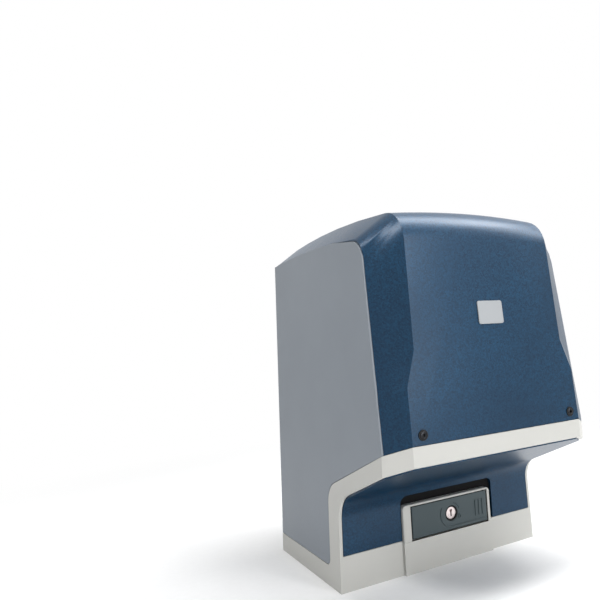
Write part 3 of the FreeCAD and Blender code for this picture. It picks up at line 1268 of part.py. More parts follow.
doc.recompute()
for thing in doc.Objects:
    if "Invalid" in thing.State or "Error" in thing.State:
        raise RuntimeError("%s (%s) failed: %s" % (thing.Name, thing.Label, thing.State))
for name, thing in NODES.items():
    if thing.Shape.isNull() or not thing.Shape.isValid():
        raise RuntimeError("%s has no valid shape" % name)

os.makedirs("parts", exist_ok=True)
for name, thing in NODES.items():
    thing.Shape.exportStep(os.path.join("parts", name + ".step"))
    limits = thing.Shape.BoundBox
    print("%-22s solids %2d  volume %9.0f  x %6.1f %6.1f  y %6.1f %6.1f  z %6.1f %6.1f" % (
        name, len(thing.Shape.Solids), thing.Shape.Volume,
        limits.XMin, limits.XMax, limits.YMin, limits.YMax, limits.ZMin, limits.ZMax))
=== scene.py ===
# %% [markdown]
# # A sliding gate motor, dressed for its portrait
# The motor stands on a concrete foot beside a sliding gate and pushes the gate by a rack.
# Its solids come ready from the CAD frame, each already in its place. This lesson gives them
# what a camera needs: softly broken edges, turned and swept small parts, and honest materials.

# %% Load the frame
import json
import math

import bmesh
import bpy
import numpy as np
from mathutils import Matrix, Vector


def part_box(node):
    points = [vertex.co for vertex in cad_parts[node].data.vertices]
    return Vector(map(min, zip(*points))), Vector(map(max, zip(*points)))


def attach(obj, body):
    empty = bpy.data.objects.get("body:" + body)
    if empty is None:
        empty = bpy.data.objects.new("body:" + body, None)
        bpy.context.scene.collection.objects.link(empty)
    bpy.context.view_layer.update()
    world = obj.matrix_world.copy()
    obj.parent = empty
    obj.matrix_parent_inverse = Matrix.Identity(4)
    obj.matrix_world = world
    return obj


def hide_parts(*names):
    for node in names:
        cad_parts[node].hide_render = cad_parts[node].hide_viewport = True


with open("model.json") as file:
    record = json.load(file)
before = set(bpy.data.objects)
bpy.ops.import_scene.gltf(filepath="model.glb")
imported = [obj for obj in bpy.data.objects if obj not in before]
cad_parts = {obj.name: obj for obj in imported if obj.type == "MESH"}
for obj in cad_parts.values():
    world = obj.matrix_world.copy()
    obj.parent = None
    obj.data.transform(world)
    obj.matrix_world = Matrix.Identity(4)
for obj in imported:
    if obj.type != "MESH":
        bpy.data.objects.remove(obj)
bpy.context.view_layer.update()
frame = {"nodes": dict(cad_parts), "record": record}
MM = 0.001

# %% [markdown]
# ## Sizes read from the frame
# A new piece could be placed by typing coordinates, but then it would stay behind when the motor
# changes. So each one takes its place from the box of the CAD node that it belongs to, and only
# small sizes of its own, such as a seal's thickness, are written here.

# %% Corners and centres of nodes
def corners(node):
    """Lowest and highest corner of a node as two arrays, in metres."""
    low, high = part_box(node)
    return np.array(low), np.array(high)


def centre(node):
    """Middle of a node's box."""
    low, high = corners(node)
    return (low + high) / 2


frame_low, frame_high = corners("base_frame")
print("light frame: %.0f x %.0f x %.0f mm" % tuple((frame_high - frame_low) / MM))

# %% [markdown]
# ## Colour and node helpers
# Colours are written as the hex values that a paint chart gives, and turned to linear light by one
# function. One more function adds a shader node with its settings and links, so that a material
# below reads as a short list of what the real finish is made of.

# %% Hex colour to linear light
def colour(text):
    """Linear RGBA of an sRGB hex value: c / 12.92 below 0.04045, else ((c + 0.055) / 1.055) ^ 2.4."""
    values = np.array([int(text[i:i + 2], 16) for i in (1, 3, 5)]) / 255
    linear = np.where(values <= 0.04045, values / 12.92, ((values + 0.055) / 1.055) ** 2.4)
    return (*linear.tolist(), 1.0)


print("middle grey in linear light: %.3f" % colour("#808080")[0])

# %% One node with its inputs, and a material from its finish
MATERIALS = {}


def put(tree, kind, inputs=None, **settings):
    """Add a shader node; an input is a number, a colour or another node's output."""
    node = tree.nodes.new("ShaderNode" + kind)
    for name, value in settings.items():
        setattr(node, name, value)
    for key, value in (inputs or {}).items():
        if isinstance(value, bpy.types.NodeSocket):
            tree.links.new(value, node.inputs[key])
        else:
            node.inputs[key].default_value = value
    return node


def per(size_mm):
    """Texture scale that makes one feature this many millimetres wide."""
    return 1 / (size_mm * MM)


def material(name, build):
    """Material from a function of (tree, object coordinates) that gives the shader's inputs."""
    made = bpy.data.materials.new(name)
    made.use_nodes = True
    tree = made.node_tree
    tree.nodes.clear()
    place = put(tree, "TexCoord").outputs["Object"]
    shader = put(tree, "BsdfPrincipled", build(tree, place))
    put(tree, "OutputMaterial", {"Surface": shader.outputs["BSDF"]})
    MATERIALS[name] = made
    print("material", name, "with", len(tree.nodes), "nodes")
    return made


# %% [markdown]
# ## Metallic lacquer of the cover
# The cover is an ABS moulding sprayed with a satin metallic lacquer: a deep blue pigment with few
# fine aluminium flakes under a clear satin coat. The pigment gives the blue, which stays where the
# surface turns away from the lamps. The coat and the flakes give the pale grey sheen on the
# shoulder. Each flake lies at its own small tilt and sparkles. The real flake is about 0.05 mm,
# far too fine to draw, so it is drawn as grains of 1.1 mm: a Voronoi cell pattern tints each grain,
# tilts it and shifts its gloss, and a soft large noise gives the unevenness of sprayed paint.

# %% Cover lacquer
FLAKE_MM = 1.1
SPRAY_CLOUD_MM = 90


def cover_lacquer(tree, place):
    """Blue lacquer whose flakes vary in tint, tilt and gloss."""
    flakes = put(tree, "TexVoronoi", {"Vector": place, "Scale": per(FLAKE_MM)})
    grey = put(tree, "RGBToBW", {"Color": flakes.outputs["Color"]})
    cloud = put(tree, "TexNoise", {"Vector": place, "Scale": per(SPRAY_CLOUD_MM), "Detail": 2.0})
    tint = put(tree, "ValToRGB", {"Fac": grey.outputs["Val"]})
    tint.color_ramp.elements[0].color = colour("#021F36")
    tint.color_ramp.elements[1].color = colour("#13496A")
    patch = put(tree, "Mix", {"Factor": cloud.outputs["Fac"], "A": tint.outputs["Color"],
                              "B": colour("#05273F")}, data_type="RGBA")
    gloss = put(tree, "MapRange", {"Value": grey.outputs["Val"], "To Min": 0.34, "To Max": 0.48})
    bump = put(tree, "Bump", {"Height": grey.outputs["Val"], "Strength": 0.5, "Distance": 0.1 * MM})
    return {"Base Color": patch.outputs["Result"], "Roughness": gloss.outputs["Result"],
            "Metallic": 0.35, "IOR": 1.5, "Specular IOR Level": 0.1, "Coat Weight": 0.42,
            "Coat Roughness": 0.29, "Normal": bump.outputs["Normal"]}


material("cover_lacquer", cover_lacquer)

# %% [markdown]
# ## Plain mouldings
# The side panels, the light frame and the door are coloured plastics from a spark-eroded mould.
# Such a mould leaves a fine matt grain, 0.3 mm wide on the real part and drawn here at 0.8 mm, and
# the melt leaves faint clouds of gloss a hand wide. They differ only in colour, gloss and grain,
# so one function describes them all. A slow drift between two close colours keeps a large plain
# face from looking like paper.

# %% Moulded plastics
GRAIN_MM = 0.8
MELT_CLOUD_MM = 70
GLOSS_SPREAD = 0.06


def moulded(base, cloud_tint, roughness, grain, sheen):
    """Matt grained plastic: fine bump, gloss clouds and a slow drift between two close colours."""
    def build(tree, place):
        cloud = put(tree, "TexNoise", {"Vector": place, "Scale": per(MELT_CLOUD_MM), "Detail": 3.0,
                                       "Roughness": 0.6})
        tone = put(tree, "Mix", {"Factor": cloud.outputs["Fac"], "A": colour(base),
                                 "B": colour(cloud_tint)}, data_type="RGBA")
        fine = put(tree, "TexNoise", {"Vector": place, "Scale": per(GRAIN_MM), "Detail": 2.0})
        gloss = put(tree, "MapRange", {"Value": fine.outputs["Fac"],
                                       "To Min": roughness - GLOSS_SPREAD,
                                       "To Max": roughness + GLOSS_SPREAD})
        bump = put(tree, "Bump", {"Height": fine.outputs["Fac"], "Strength": grain,
                                  "Distance": 0.15 * MM})
        return {"Base Color": tone.outputs["Result"], "Roughness": gloss.outputs["Result"],
                "IOR": 1.5, "Specular IOR Level": sheen, "Normal": bump.outputs["Normal"]}
    return build


# %% The plastics of this motor
material("panel_satin_abs", moulded("#787F87", "#828991", 0.46, 0.10, 0.5))
material("frame_light_abs", moulded("#C4C3BE", "#BABAB6", 0.52, 0.12, 0.4))
material("door_slate_abs", moulded("#364347", "#3E4B4F", 0.42, 0.16, 0.4))
material("badge_blank_abs", moulded("#9A9EA1", "#A3A6A9", 0.36, 0.06, 0.5))
material("black_nylon", moulded("#121314", "#191A1C", 0.50, 0.20, 0.25))
material("green_terminal_nylon", moulded("#2F7A4A", "#368351", 0.42, 0.10, 0.5))
material("black_rubber", moulded("#0B0B0C", "#121213", 0.72, 0.30, 0.12))

# %% [markdown]
# ## Metals
# Inside and behind, the motor is aluminium castings, turned steel and bronze. A casting is dull and
# pebbled by its sand or die, grains of about 1.5 mm. A turned or ground face has fine parallel
# tracks, which a noise stretched round the axis gives. The one function takes the metal's colour,
# its gloss and how its texture is stretched. Metals keep their default index of refraction.

# %% Metal finishes
EVEN = (1.0, 1.0, 1.0)
ACROSS_Y = (1.0, 12.0, 1.0)
ACROSS_Z = (1.0, 1.0, 12.0)


def metal(base, shade, roughness, feature_mm, stretch=EVEN, depth=0.2):
    """Bare metal: noise stretched along the tool's path varies colour, gloss and height."""
    def build(tree, place):
        path = put(tree, "Mapping", {"Vector": place, "Scale": stretch})
        track = put(tree, "TexNoise", {"Vector": path.outputs["Vector"], "Scale": per(feature_mm),
                                       "Detail": 4.0})
        tone = put(tree, "Mix", {"Factor": track.outputs["Fac"], "A": colour(shade),
                                 "B": colour(base)}, data_type="RGBA")
        gloss = put(tree, "MapRange", {"Value": track.outputs["Fac"], "To Min": roughness + 0.10,
                                       "To Max": roughness - 0.08})
        bump = put(tree, "Bump", {"Height": track.outputs["Fac"], "Strength": depth,
                                  "Distance": 0.2 * MM})
        return {"Base Color": tone.outputs["Result"], "Metallic": 1.0,
                "Roughness": gloss.outputs["Result"], "Normal": bump.outputs["Normal"]}
    return build


# %% The metals of this motor
material("die_cast_aluminium", metal("#B9BBBD", "#8F9296", 0.48, 1.5, depth=0.3))
material("turned_steel", metal("#C4C6C8", "#9A9DA1", 0.28, 4.0, ACROSS_Y))
material("burnished_black_steel", metal("#3A3B3E", "#1C1D1F", 0.32, 2.0))
material("nickel_plated_zinc", metal("#D6CBCA", "#C2B7B6", 0.28, 3.0, depth=0.08))
material("cast_bronze", metal("#B08A4E", "#8A6632", 0.36, 3.0, ACROSS_Y))
material("laminated_steel", metal("#8D8F92", "#5B5D61", 0.45, 3.0, ACROSS_Z, 0.4))

# %% [markdown]
# ## Winding and circuit board
# Enamelled copper wire lies in even turns, packed into bands by the way it is wound. A wave across
# the coil draws one band for every 10 mm; single wires would be too fine to tell apart. The circuit
# board is glass fibre under a green solder mask, through which the copper tracks show a little
# lighter: a brick pattern of long thin cells makes believable tracks. Both lie under the cover and
# are seen only when someone takes the model apart.

# %% Copper winding and circuit board
BAND_MM = 10.05
WAVE_ANGLE = 20
TRACK_FIELD_MM = 60


def winding(tree, place):
    """Bands along Z: the wave texture is sin(20 * scale * z), so a band is 2 pi / (20 * scale)."""
    wires = put(tree, "TexWave", {"Vector": place, "Scale": per(BAND_MM) * 2 * math.pi / WAVE_ANGLE,
                                  "Distortion": 0.3}, bands_direction="Z")
    tone = put(tree, "Mix", {"Factor": wires.outputs["Fac"], "A": colour("#6A3116"),
                             "B": colour("#B4602F")}, data_type="RGBA")
    bump = put(tree, "Bump", {"Height": wires.outputs["Fac"], "Strength": 0.6, "Distance": 0.5 * MM})
    return {"Base Color": tone.outputs["Result"], "Metallic": 0.8, "Roughness": 0.34,
            "Normal": bump.outputs["Normal"]}


def circuit_board(tree, place):
    """Solder mask over tracks: cells of a brick pattern in the board's own upright plane."""
    flat = put(tree, "Mapping", {"Vector": place, "Rotation": (math.pi / 2, 0, 0)})
    tracks = put(tree, "TexBrick", {"Vector": flat.outputs["Vector"], "Scale": per(TRACK_FIELD_MM),
                                    "Color1": colour("#1F5B3C"), "Color2": colour("#256A46"),
                                    "Mortar": colour("#2F7D52"), "Mortar Size": 0.008,
                                    "Brick Width": 0.35, "Row Height": 0.06})
    return {"Base Color": tracks.outputs["Color"], "Roughness": 0.3, "IOR": 1.5}


material("enamelled_copper_winding", winding)
material("green_circuit_board", circuit_board)

# %% [markdown]
# ## Dressing the CAD nodes
# The record says which finish slot each node has. A table turns slots into the materials above,
# and every node gets its own, inside and outside alike.

# %% Give every node its material
SLOT_FINISH = {
    "cover_blue": "cover_lacquer",
    "panel_grey": "panel_satin_abs",
    "frame_light_grey": "frame_light_abs",
    "door_slate": "door_slate_abs",
    "badge_grey": "badge_blank_abs",
    "black_plastic": "black_nylon",
    "black_rubber": "black_rubber",
    "green_board": "green_circuit_board",
    "green_terminal": "green_terminal_nylon",
    "cast_aluminium": "die_cast_aluminium",
    "steel": "turned_steel",
    "black_steel": "burnished_black_steel",
    "bright_lock": "nickel_plated_zinc",
    "bronze": "cast_bronze",
    "copper_winding": "enamelled_copper_winding",
    "lamination_steel": "laminated_steel",
}
SLOT_OF = {row["node"]: row["material_slot"] for row in frame["record"]["subparts"]}
BODY_OF = {node: body for body, nodes in frame["record"]["behaviour"]["bodies"].items()
           for node in nodes}


def dress(piece, slot):
    """Give a piece the material of a slot and nothing else."""
    piece.data.materials.clear()
    piece.data.materials.append(MATERIALS[SLOT_FINISH[slot]])


for name, piece in frame["nodes"].items():
    dress(piece, SLOT_OF[name])
print("dressed", len(frame["nodes"]), "nodes")

# %% [markdown]
# ## Soft edges on the mouldings
# A moulded edge is never knife sharp: its small round catches a line of light, and that line is
# what tells the eye that it sees plastic. A Bevel modifier rounds what is sharp, but the CAD mesh
# is loose triangles, which it can't follow. So a copy has its equal corners joined and its flat
# runs merged to single faces first. The copy takes the place of its node, which stays in the
# scene, hidden.

# %% Copy a node with rounded edges
SHARP = math.radians(28)
FLAT = math.radians(0.4)
WELD = 0.004 * MM
EDGE_SEGMENTS = 2


def softened(node, title, radius_mm):
    """Copy of a node: corners welded, flat runs merged, edges over 28 degrees rounded."""
    mesh = frame["nodes"][node].data.copy()
    mesh.name = title
    work = bmesh.new()
    work.from_mesh(mesh)
    bmesh.ops.remove_doubles(work, verts=work.verts, dist=WELD)
    bmesh.ops.dissolve_limit(work, angle_limit=FLAT, verts=work.verts, edges=work.edges)
    for face in work.faces:
        face.smooth = True
    work.to_mesh(mesh)
    work.free()
    for layer in [item for item in mesh.attributes if item.name == "custom_normal"]:
        mesh.attributes.remove(layer)
    piece = bpy.data.objects.new(title, mesh)
    bpy.context.scene.collection.objects.link(piece)
    edge = piece.modifiers.new("soft edge", "BEVEL")
    edge.width = radius_mm * MM
    edge.segments = EDGE_SEGMENTS
    edge.limit_method = "ANGLE"
    edge.angle_limit = SHARP
    edge.harden_normals = True
    edge.use_clamp_overlap = True
    dress(piece, SLOT_OF[node])
    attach(piece, BODY_OF[node])
    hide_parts(node)
    print("%s: %d faces, edges rounded to %.2f mm" % (title, len(mesh.polygons), radius_mm))


# %% Mouldings and castings with their edge radii in millimetres
EDGE_RADII = {
    "cover_shell": ("cover_moulding", 0.9),
    "base_frame": ("frame_moulding", 0.6),
    "lower_fascia": ("fascia_moulding", 0.5),
    "release_surround": ("release_surround_moulding", 0.5),
    "side_panel_left": ("panel_left_moulding", 0.5),
    "side_panel_right": ("panel_right_moulding", 0.5),
    "cover_badge": ("badge_plate", 0.3),
    "release_door": ("release_door_moulding", 0.35),
    "output_pinion": ("pinion_ground", 0.25),
    "gear_case": ("gear_case_casting", 0.5),
    "base_plate": ("base_plate_casting", 0.5),
}
for node, (title, radius_mm) in EDGE_RADII.items():
    softened(node, title, radius_mm)

# %% [markdown]
# ## Turned pieces
# Screw heads and the lock are turned parts: a profile carried round an axis. A socket could be cut
# with a Boolean, but here it is no harder than a round hole, because its outline is a circle whose
# radius changes with the angle. A hexagon is its apothem divided by the cosine of the angle from
# the nearest flat, and a slot is the nearer of its side and its end along that angle. So one grid
# with the angle as one parameter and the profile as the other makes rim, face and socket together.

# %% Circles, hexagons and slots as a radius for every angle
ROUND = 96
ANGLE = np.linspace(0, 2 * np.pi, ROUND, endpoint=False)
TINY = 1e-6


def circle(radius):
    """The same radius at every angle."""
    return np.full(ROUND, radius)


def hexagon(apothem):
    """Radius at an angle: apothem / cos(angle from the nearest flat)."""
    return apothem / np.cos((ANGLE + np.pi / 6) % (np.pi / 3) - np.pi / 6)


def slit(half_width, half_height):
    """Radius at an angle of an upright slot: the nearer of side / |cos| and end / |sin|."""
    across = half_width / np.maximum(np.abs(np.cos(ANGLE)), TINY)
    along = half_height / np.maximum(np.abs(np.sin(ANGLE)), TINY)
    return np.minimum(across, along)


print("a hexagon's corner stands %.3f of its apothem out" % hexagon(1.0).max())

# %% Grids, their faces and the piece that they make
SMOOTH_BELOW = math.radians(35)


def turned(at, rings):
    """Grid (ring, angle): each ring is a radius for every angle and a rise along -Y."""
    radii = np.array([ring[0] for ring in rings])
    rises = np.array([ring[1] for ring in rings])[:, None]
    return np.stack([at[0] + radii * np.cos(ANGLE), at[1] - rises + 0 * radii,
                     at[2] + radii * np.sin(ANGLE)], axis=-1)


def grid_faces(rows, columns, close_rows, close_columns):
    """Quads of a grid that may close on itself along its rows and along its columns."""
    row, column = np.mgrid[0:rows if close_rows else rows - 1,
                           0:columns if close_columns else columns - 1]
    after = (column + 1) % columns
    below = (row + 1) % rows
    return np.stack([row * columns + column, below * columns + column,
                     below * columns + after, row * columns + after], axis=-1).reshape(-1, 4)


def surface(title, grids, slot, body, close_rows=False, close_columns=True):
    """Piece from one or more grids, with open ends capped, its finish, body and sharp edges."""
    faces = []
    start = 0
    for grid in grids:
        faces.append(grid_faces(grid.shape[0], grid.shape[1], close_rows, close_columns) + start)
        start += grid.shape[0] * grid.shape[1]
    mesh = bpy.data.meshes.new(title)
    mesh.from_pydata(np.concatenate([grid.reshape(-1, 3) for grid in grids]).tolist(), [],
                     np.concatenate(faces).tolist())
    work = bmesh.new()
    work.from_mesh(mesh)
    bmesh.ops.remove_doubles(work, verts=work.verts, dist=0.5 * WELD)
    if not close_columns:
        bmesh.ops.holes_fill(work, edges=work.edges, sides=grids[0].shape[0])
    bmesh.ops.recalc_face_normals(work, faces=work.faces)
    work.to_mesh(mesh)
    work.free()
    mesh.polygons.foreach_set("use_smooth", np.full(len(mesh.polygons), True))
    mesh.set_sharp_from_angle(angle=SMOOTH_BELOW)
    piece = bpy.data.objects.new(title, mesh)
    bpy.context.scene.collection.objects.link(piece)
    dress(piece, slot)
    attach(piece, body)
    print("%s: %d faces" % (title, len(mesh.polygons)))
    return piece


# %% [markdown]
# ## Cover screws
# Two black socket screws hold the cover. A pressed screw head has a short straight rim, a dome and
# a hexagon socket with a small lead-in and a drilled tip. The sizes below are shares of the head's
# height, its radius or the socket's depth, and the head's own size comes from the CAD screws. Both
# heads are one piece, because one node holds both screws.

# %% Both screw heads
RIM_SHARE = 0.45
SOCKET_SHARE = 0.42
DEPTH_SHARE = 0.7
LEAD_IN = 1.04
LEAD_SHARE = 0.1
TIP_SHARE = 1.15
DOME_END = math.radians(67.5)
DOME_STEPS = 7


def screw_head(at, radius, height):
    """Domed head with a hexagon socket: the dome's radius falls as a cosine while its rise grows."""
    rim = RIM_SHARE * height
    socket = SOCKET_SHARE * radius
    depth = DEPTH_SHARE * height
    rings = [(circle(0), 0), (circle(radius), 0), (circle(radius), rim)]
    for bend in np.linspace(0, DOME_END, DOME_STEPS)[1:]:
        rings.append((circle(radius * np.cos(bend)), rim + (height - rim) * np.sin(bend)))
    top = rings[-1][1]
    rings += [(hexagon(socket * LEAD_IN), top), (hexagon(socket), top - LEAD_SHARE * depth),
              (hexagon(socket), top - depth), (circle(0), top - TIP_SHARE * depth)]
    return turned(at, rings)


screws_low, screws_high = corners("cover_screws")
head_radius = (screws_high[2] - screws_low[2]) / 2
screw_height = (screws_low[2] + screws_high[2]) / 2
head_seat = corners("cover_screw_rings")[1][1]
heads = [screw_head((x, head_seat, screw_height), head_radius, head_seat - screws_low[1])
         for x in (screws_low[0] + head_radius, screws_high[0] - head_radius)]
screws = surface("cover_screw_heads", heads, "black_steel", "housing")
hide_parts("cover_screws")

# %% [markdown]
# ## The lock
# The lock is a plated plug that sits a little below the door in a black sleeve, so that rain
# runs past its edge. Its face is turned with a small round at the rim and has the upright slot of
# the key, widened at its top as such keys need. The sleeve is a ring whose profile closes on
# itself, with a rounded lip that stands just proud of the door.

# %% Where the lock sits
RIDGE_TO_DATUM = 0.6 * MM
LOCK_BELOW = 1.1 * MM

plug_low, plug_high = corners("lock_cylinder")
sleeve_low, sleeve_high = corners("lock_sleeve")
plug = centre("lock_cylinder")
plug_radius = (plug_high[2] - plug_low[2]) / 2
sleeve_radius = (sleeve_high[2] - sleeve_low[2]) / 2

# The lock, the marks and both black sheets of painted shade round the door are set out from one
# plane, just before the door's face: the front of the door's box is its raised ridge, and the plane
# lies 0.6 mm behind that.
door_datum = corners("release_door")[0][1] + RIDGE_TO_DATUM
plug_length = plug_high[1] - door_datum - LOCK_BELOW
print("plug %.1f mm across, %.1f mm long" % (2 * plug_radius / MM, plug_length / MM))

# %% Lock plug
RIM_ROUND = 0.5 * MM
KEY_WIDE = 0.7 * MM
KEY_HIGH = 3.5 * MM
HEAD_WIDE = 1.4 * MM
HEAD_LOW = 2.0 * MM
KEY_FLOOR = 0.6
RIM_STEPS = 5


def key_way():
    """Radius at an angle: the slot, or the wider head where the ray ends above its underside."""
    across = np.maximum(np.abs(np.cos(ANGLE)), TINY)
    up = np.maximum(np.sin(ANGLE), TINY)
    head = np.minimum(HEAD_WIDE / across, KEY_HIGH / up)
    return np.where(head * up >= HEAD_LOW, head, slit(KEY_WIDE, KEY_HIGH))


def lock_plug():
    """Plug with a rounded rim: a quarter circle in section, then the face and the key's slot."""
    turn = np.linspace(0, np.pi / 2, RIM_STEPS)
    rings = [(circle(0), 0), (circle(plug_radius), 0)]
    rings += [(circle(plug_radius - RIM_ROUND * (1 - np.cos(t))),
               plug_length - RIM_ROUND * (1 - np.sin(t))) for t in turn]
    rings += [(key_way(), plug_length), (key_way(), KEY_FLOOR * plug_length),
              (circle(0), KEY_FLOOR * plug_length)]
    return turned((plug[0], plug_high[1], plug[2]), rings)


plug_piece = surface("lock_plug_turned", [lock_plug()], "bright_lock", "lock")
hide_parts("lock_cylinder")

# %% Lock sleeve
LIP_PROUD = 0.1 * MM
BORE_CLEAR = 0.05 * MM
LIP_STEPS = 9


def lock_sleeve():
    """Closed ring section: out along the bore, round the lip, back along the plug's clearance."""
    lip = sleeve_high[1] - door_datum + LIP_PROUD
    bore = plug_radius + BORE_CLEAR
    middle = (sleeve_radius + bore) / 2
    half = (sleeve_radius - bore) / 2
    turn = np.linspace(0, np.pi, LIP_STEPS)
    rings = [(circle(bore), 0), (circle(sleeve_radius), 0)]
    rings += [(circle(middle + half * np.cos(t)), lip - half * (1 - np.sin(t))) for t in turn]
    return turned((plug[0], sleeve_high[1], plug[2]), rings)


sleeve_piece = surface("lock_sleeve_ring", [lock_sleeve()], "black_plastic", "door", close_rows=True)
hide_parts("lock_sleeve")

# %% [markdown]
# ## Black sheets of painted shade
# Three thin black sheets paint the dark shade round the release door, where the hood's recess and
# the gaps lie in shadow. One fills the recess of the hood above and beside the surround. One lines
# the surround's opening, and one lies round the edge of the door itself and swings with it. A curve
# with a bevel could draw them, but its section turns at the corners. So each is a flat section
# carried along an outline of upright runs and quarter circles: one parameter goes round the section,
# the other along the outline.

# %% Outlines and flat sections along them
BEND_STEPS = 8


def outline(left, right, low, top, radius, closed):
    """X and Z rows of an upright rectangle, its top corners (and all four if closed) rounded."""
    turn = np.linspace(0, np.pi / 2, BEND_STEPS)
    across = radius * np.cos(turn)
    up = radius * np.sin(turn)
    top_left = np.stack([left + radius - across, top - radius + up])
    top_right = np.stack([right - radius + up, top - radius + across])
    if not closed:
        return np.concatenate([[[left], [low]], top_left, top_right, [[right], [low]]], axis=1)
    low_right = np.stack([right - radius + across, low + radius - up])
    low_left = np.stack([left + radius - up, low + radius - across])
    return np.concatenate([top_left, top_right, low_right, low_left], axis=1)


def section(inner, outer, front, back):
    """Grid (corner of the section, step along the outline): inner and outer edge, front and back."""
    rows = [(inner, front), (outer, front), (outer, back), (inner, back)]
    return np.array([np.stack([edge[0], np.full(edge.shape[1], depth), edge[1]], axis=-1)
                     for edge, depth in rows])


print("steps round a closed outline:", outline(0, 2, 0, 2, 1, True).shape[1])

# %% Painted shade in the hood's recess
SHADE_SHEET_CLEAR = 0.05 * MM
SHADE_SHEET_THICK = 3 * MM
SHADE_SHEET_SEAT = 0.25 * MM
RAIL_BEND = 4 * MM
HOOD_BEND = 7 * MM
HOOD_BESIDE = 4.6 * MM
HOOD_ABOVE = 8.7 * MM

# The recess ends at the surround's left rail, so there the black sheet of painted shade thins to a
# lip.
LEFT_LIP = 0.25 * MM

rail_low, rail_high = corners("release_surround")
skirt_top = corners("lower_fascia")[0][2]
hood_in = outline(rail_low[0] - SHADE_SHEET_CLEAR, rail_high[0] + SHADE_SHEET_CLEAR, skirt_top,
                  rail_high[2] + SHADE_SHEET_CLEAR, RAIL_BEND, False)
hood_out = outline(rail_low[0] - LEFT_LIP, rail_high[0] + HOOD_BESIDE - SHADE_SHEET_CLEAR, skirt_top,
                   rail_high[2] + HOOD_ABOVE - SHADE_SHEET_CLEAR, HOOD_BEND, False)
hood_back = rail_high[1] + SHADE_SHEET_SEAT
# A black sheet at the back of the recess paints the shadow that falls above and beside the surround.
surface("hood_shade_sheet", [section(hood_in, hood_out, hood_back - SHADE_SHEET_THICK, hood_back)],
        "black_rubber", "housing", close_rows=True, close_columns=False)

# %% Outline of the door
BARREL_RADIUS = 4.5 * MM
LEAF_BEND = 0.6 * MM

# The door's box also holds the finger at its hinge, so its left edge comes from the pin.
leaf_low, leaf_high = corners("release_door")
leaf_left = centre("door_hinge_pin")[0] - BARREL_RADIUS


def round_door(grow):
    """Outline of the door, grown by a margin; its corners' radius grows by half of it."""
    return outline(leaf_left - grow, leaf_high[0] + grow, leaf_low[2] - grow, leaf_high[2] + grow,
                   LEAF_BEND + grow / 2, True)


print("door leaf: %.1f mm wide" % ((leaf_high[0] - leaf_left) / MM))

# %% Painted shade in the gaps of the opening and of the door
DOOR_GAP = 1.5 * MM
OPENING_SHADE_THICK = 0.3 * MM
OPENING_SHADE_BEFORE = 0.3 * MM
OPENING_SHADE_BEHIND = 0.7 * MM
DOOR_SHADE_THICK = 0.5 * MM
DOOR_SHADE_START = 0.6 * MM
DOOR_SHADE_END = 3 * MM

# A black sheet on the walls of the opening paints the shade in the gap round the door.
opening_shade_grid = section(round_door(DOOR_GAP - OPENING_SHADE_THICK), round_door(DOOR_GAP - SHADE_SHEET_CLEAR),
                door_datum - OPENING_SHADE_BEFORE, door_datum + OPENING_SHADE_BEHIND)
surface("opening_shade_sheet", [opening_shade_grid], "black_rubber", "housing", close_rows=True)
# A black sheet round the door's own edge paints the shade on the far side of that gap, and swings
# with the door.
door_edge_shade_grid = section(round_door(-SHADE_SHEET_CLEAR), round_door(DOOR_SHADE_THICK),
                 door_datum + DOOR_SHADE_START, door_datum + DOOR_SHADE_END)
surface("door_edge_shade_sheet", [door_edge_shade_grid], "black_rubber", "door", close_rows=True)

# %% [markdown]
# ## Position marks beside the lock
# Two small raised marks tell which way the key turns: an arc for the turn and a ring for the
# closed place. They are generic shapes, a round bead carried along an arc and along a ring. Real
# ones are cut into the mould, so they have the door's own plastic.

# %% A bead along a flat path
BEAD_SIDES = 12


def bead(path_x, path_z, depth, radius, closed):
    """Grid (angle round the bead, step): the path plus radius * (cos out of it, sin along -Y)."""
    if closed:
        out = np.stack([path_x - path_x.mean(), path_z - path_z.mean()])
    else:
        ahead = np.gradient(np.stack([path_x, path_z]), axis=1)
        out = np.stack([-ahead[1], ahead[0]])
    out /= np.linalg.norm(out, axis=0)
    turn = np.linspace(0, 2 * np.pi, BEAD_SIDES, endpoint=False)[:, None]
    return np.stack([path_x + radius * np.cos(turn) * out[0],
                     depth - radius * np.sin(turn) + 0 * path_x,
                     path_z + radius * np.cos(turn) * out[1]], axis=-1)


# %% Both marks
MARK_WIRE = 0.55 * MM
ARC_RADIUS = 10 * MM
ARC_FROM = math.radians(15)
ARC_TO = math.radians(70)
RING_ASIDE = 9.5 * MM
RING_BELOW = 4.5 * MM
RING_WIDE = 1.3 * MM
RING_TALL = 1.6 * MM
ARC_STEPS = 14
RING_STEPS = 20

arc = np.linspace(ARC_FROM, ARC_TO, ARC_STEPS)
arc_mark = bead(plug[0] + ARC_RADIUS * np.cos(arc), plug[2] + ARC_RADIUS * np.sin(arc),
                door_datum, MARK_WIRE, False)
surface("turn_mark", [arc_mark], "door_slate", "door", close_rows=True, close_columns=False)
loop = np.linspace(0, 2 * np.pi, RING_STEPS, endpoint=False)
ring_mark = bead(plug[0] + RING_ASIDE + RING_WIDE * np.cos(loop),
                 plug[2] - RING_BELOW + RING_TALL * np.sin(loop), door_datum, MARK_WIRE, True)
surface("closed_mark", [ring_mark], "door_slate", "door", close_rows=True)

# %% [markdown]
# ## Floor and white surroundings
# A plain pale card serves as floor. Close to the object it is an ordinary matt surface, which
# keeps the shadow. Away from it the card fades to the white of the studio, and so does the world
# behind it, for all that the camera, a gloss or a glass sees, so no horizon shows.

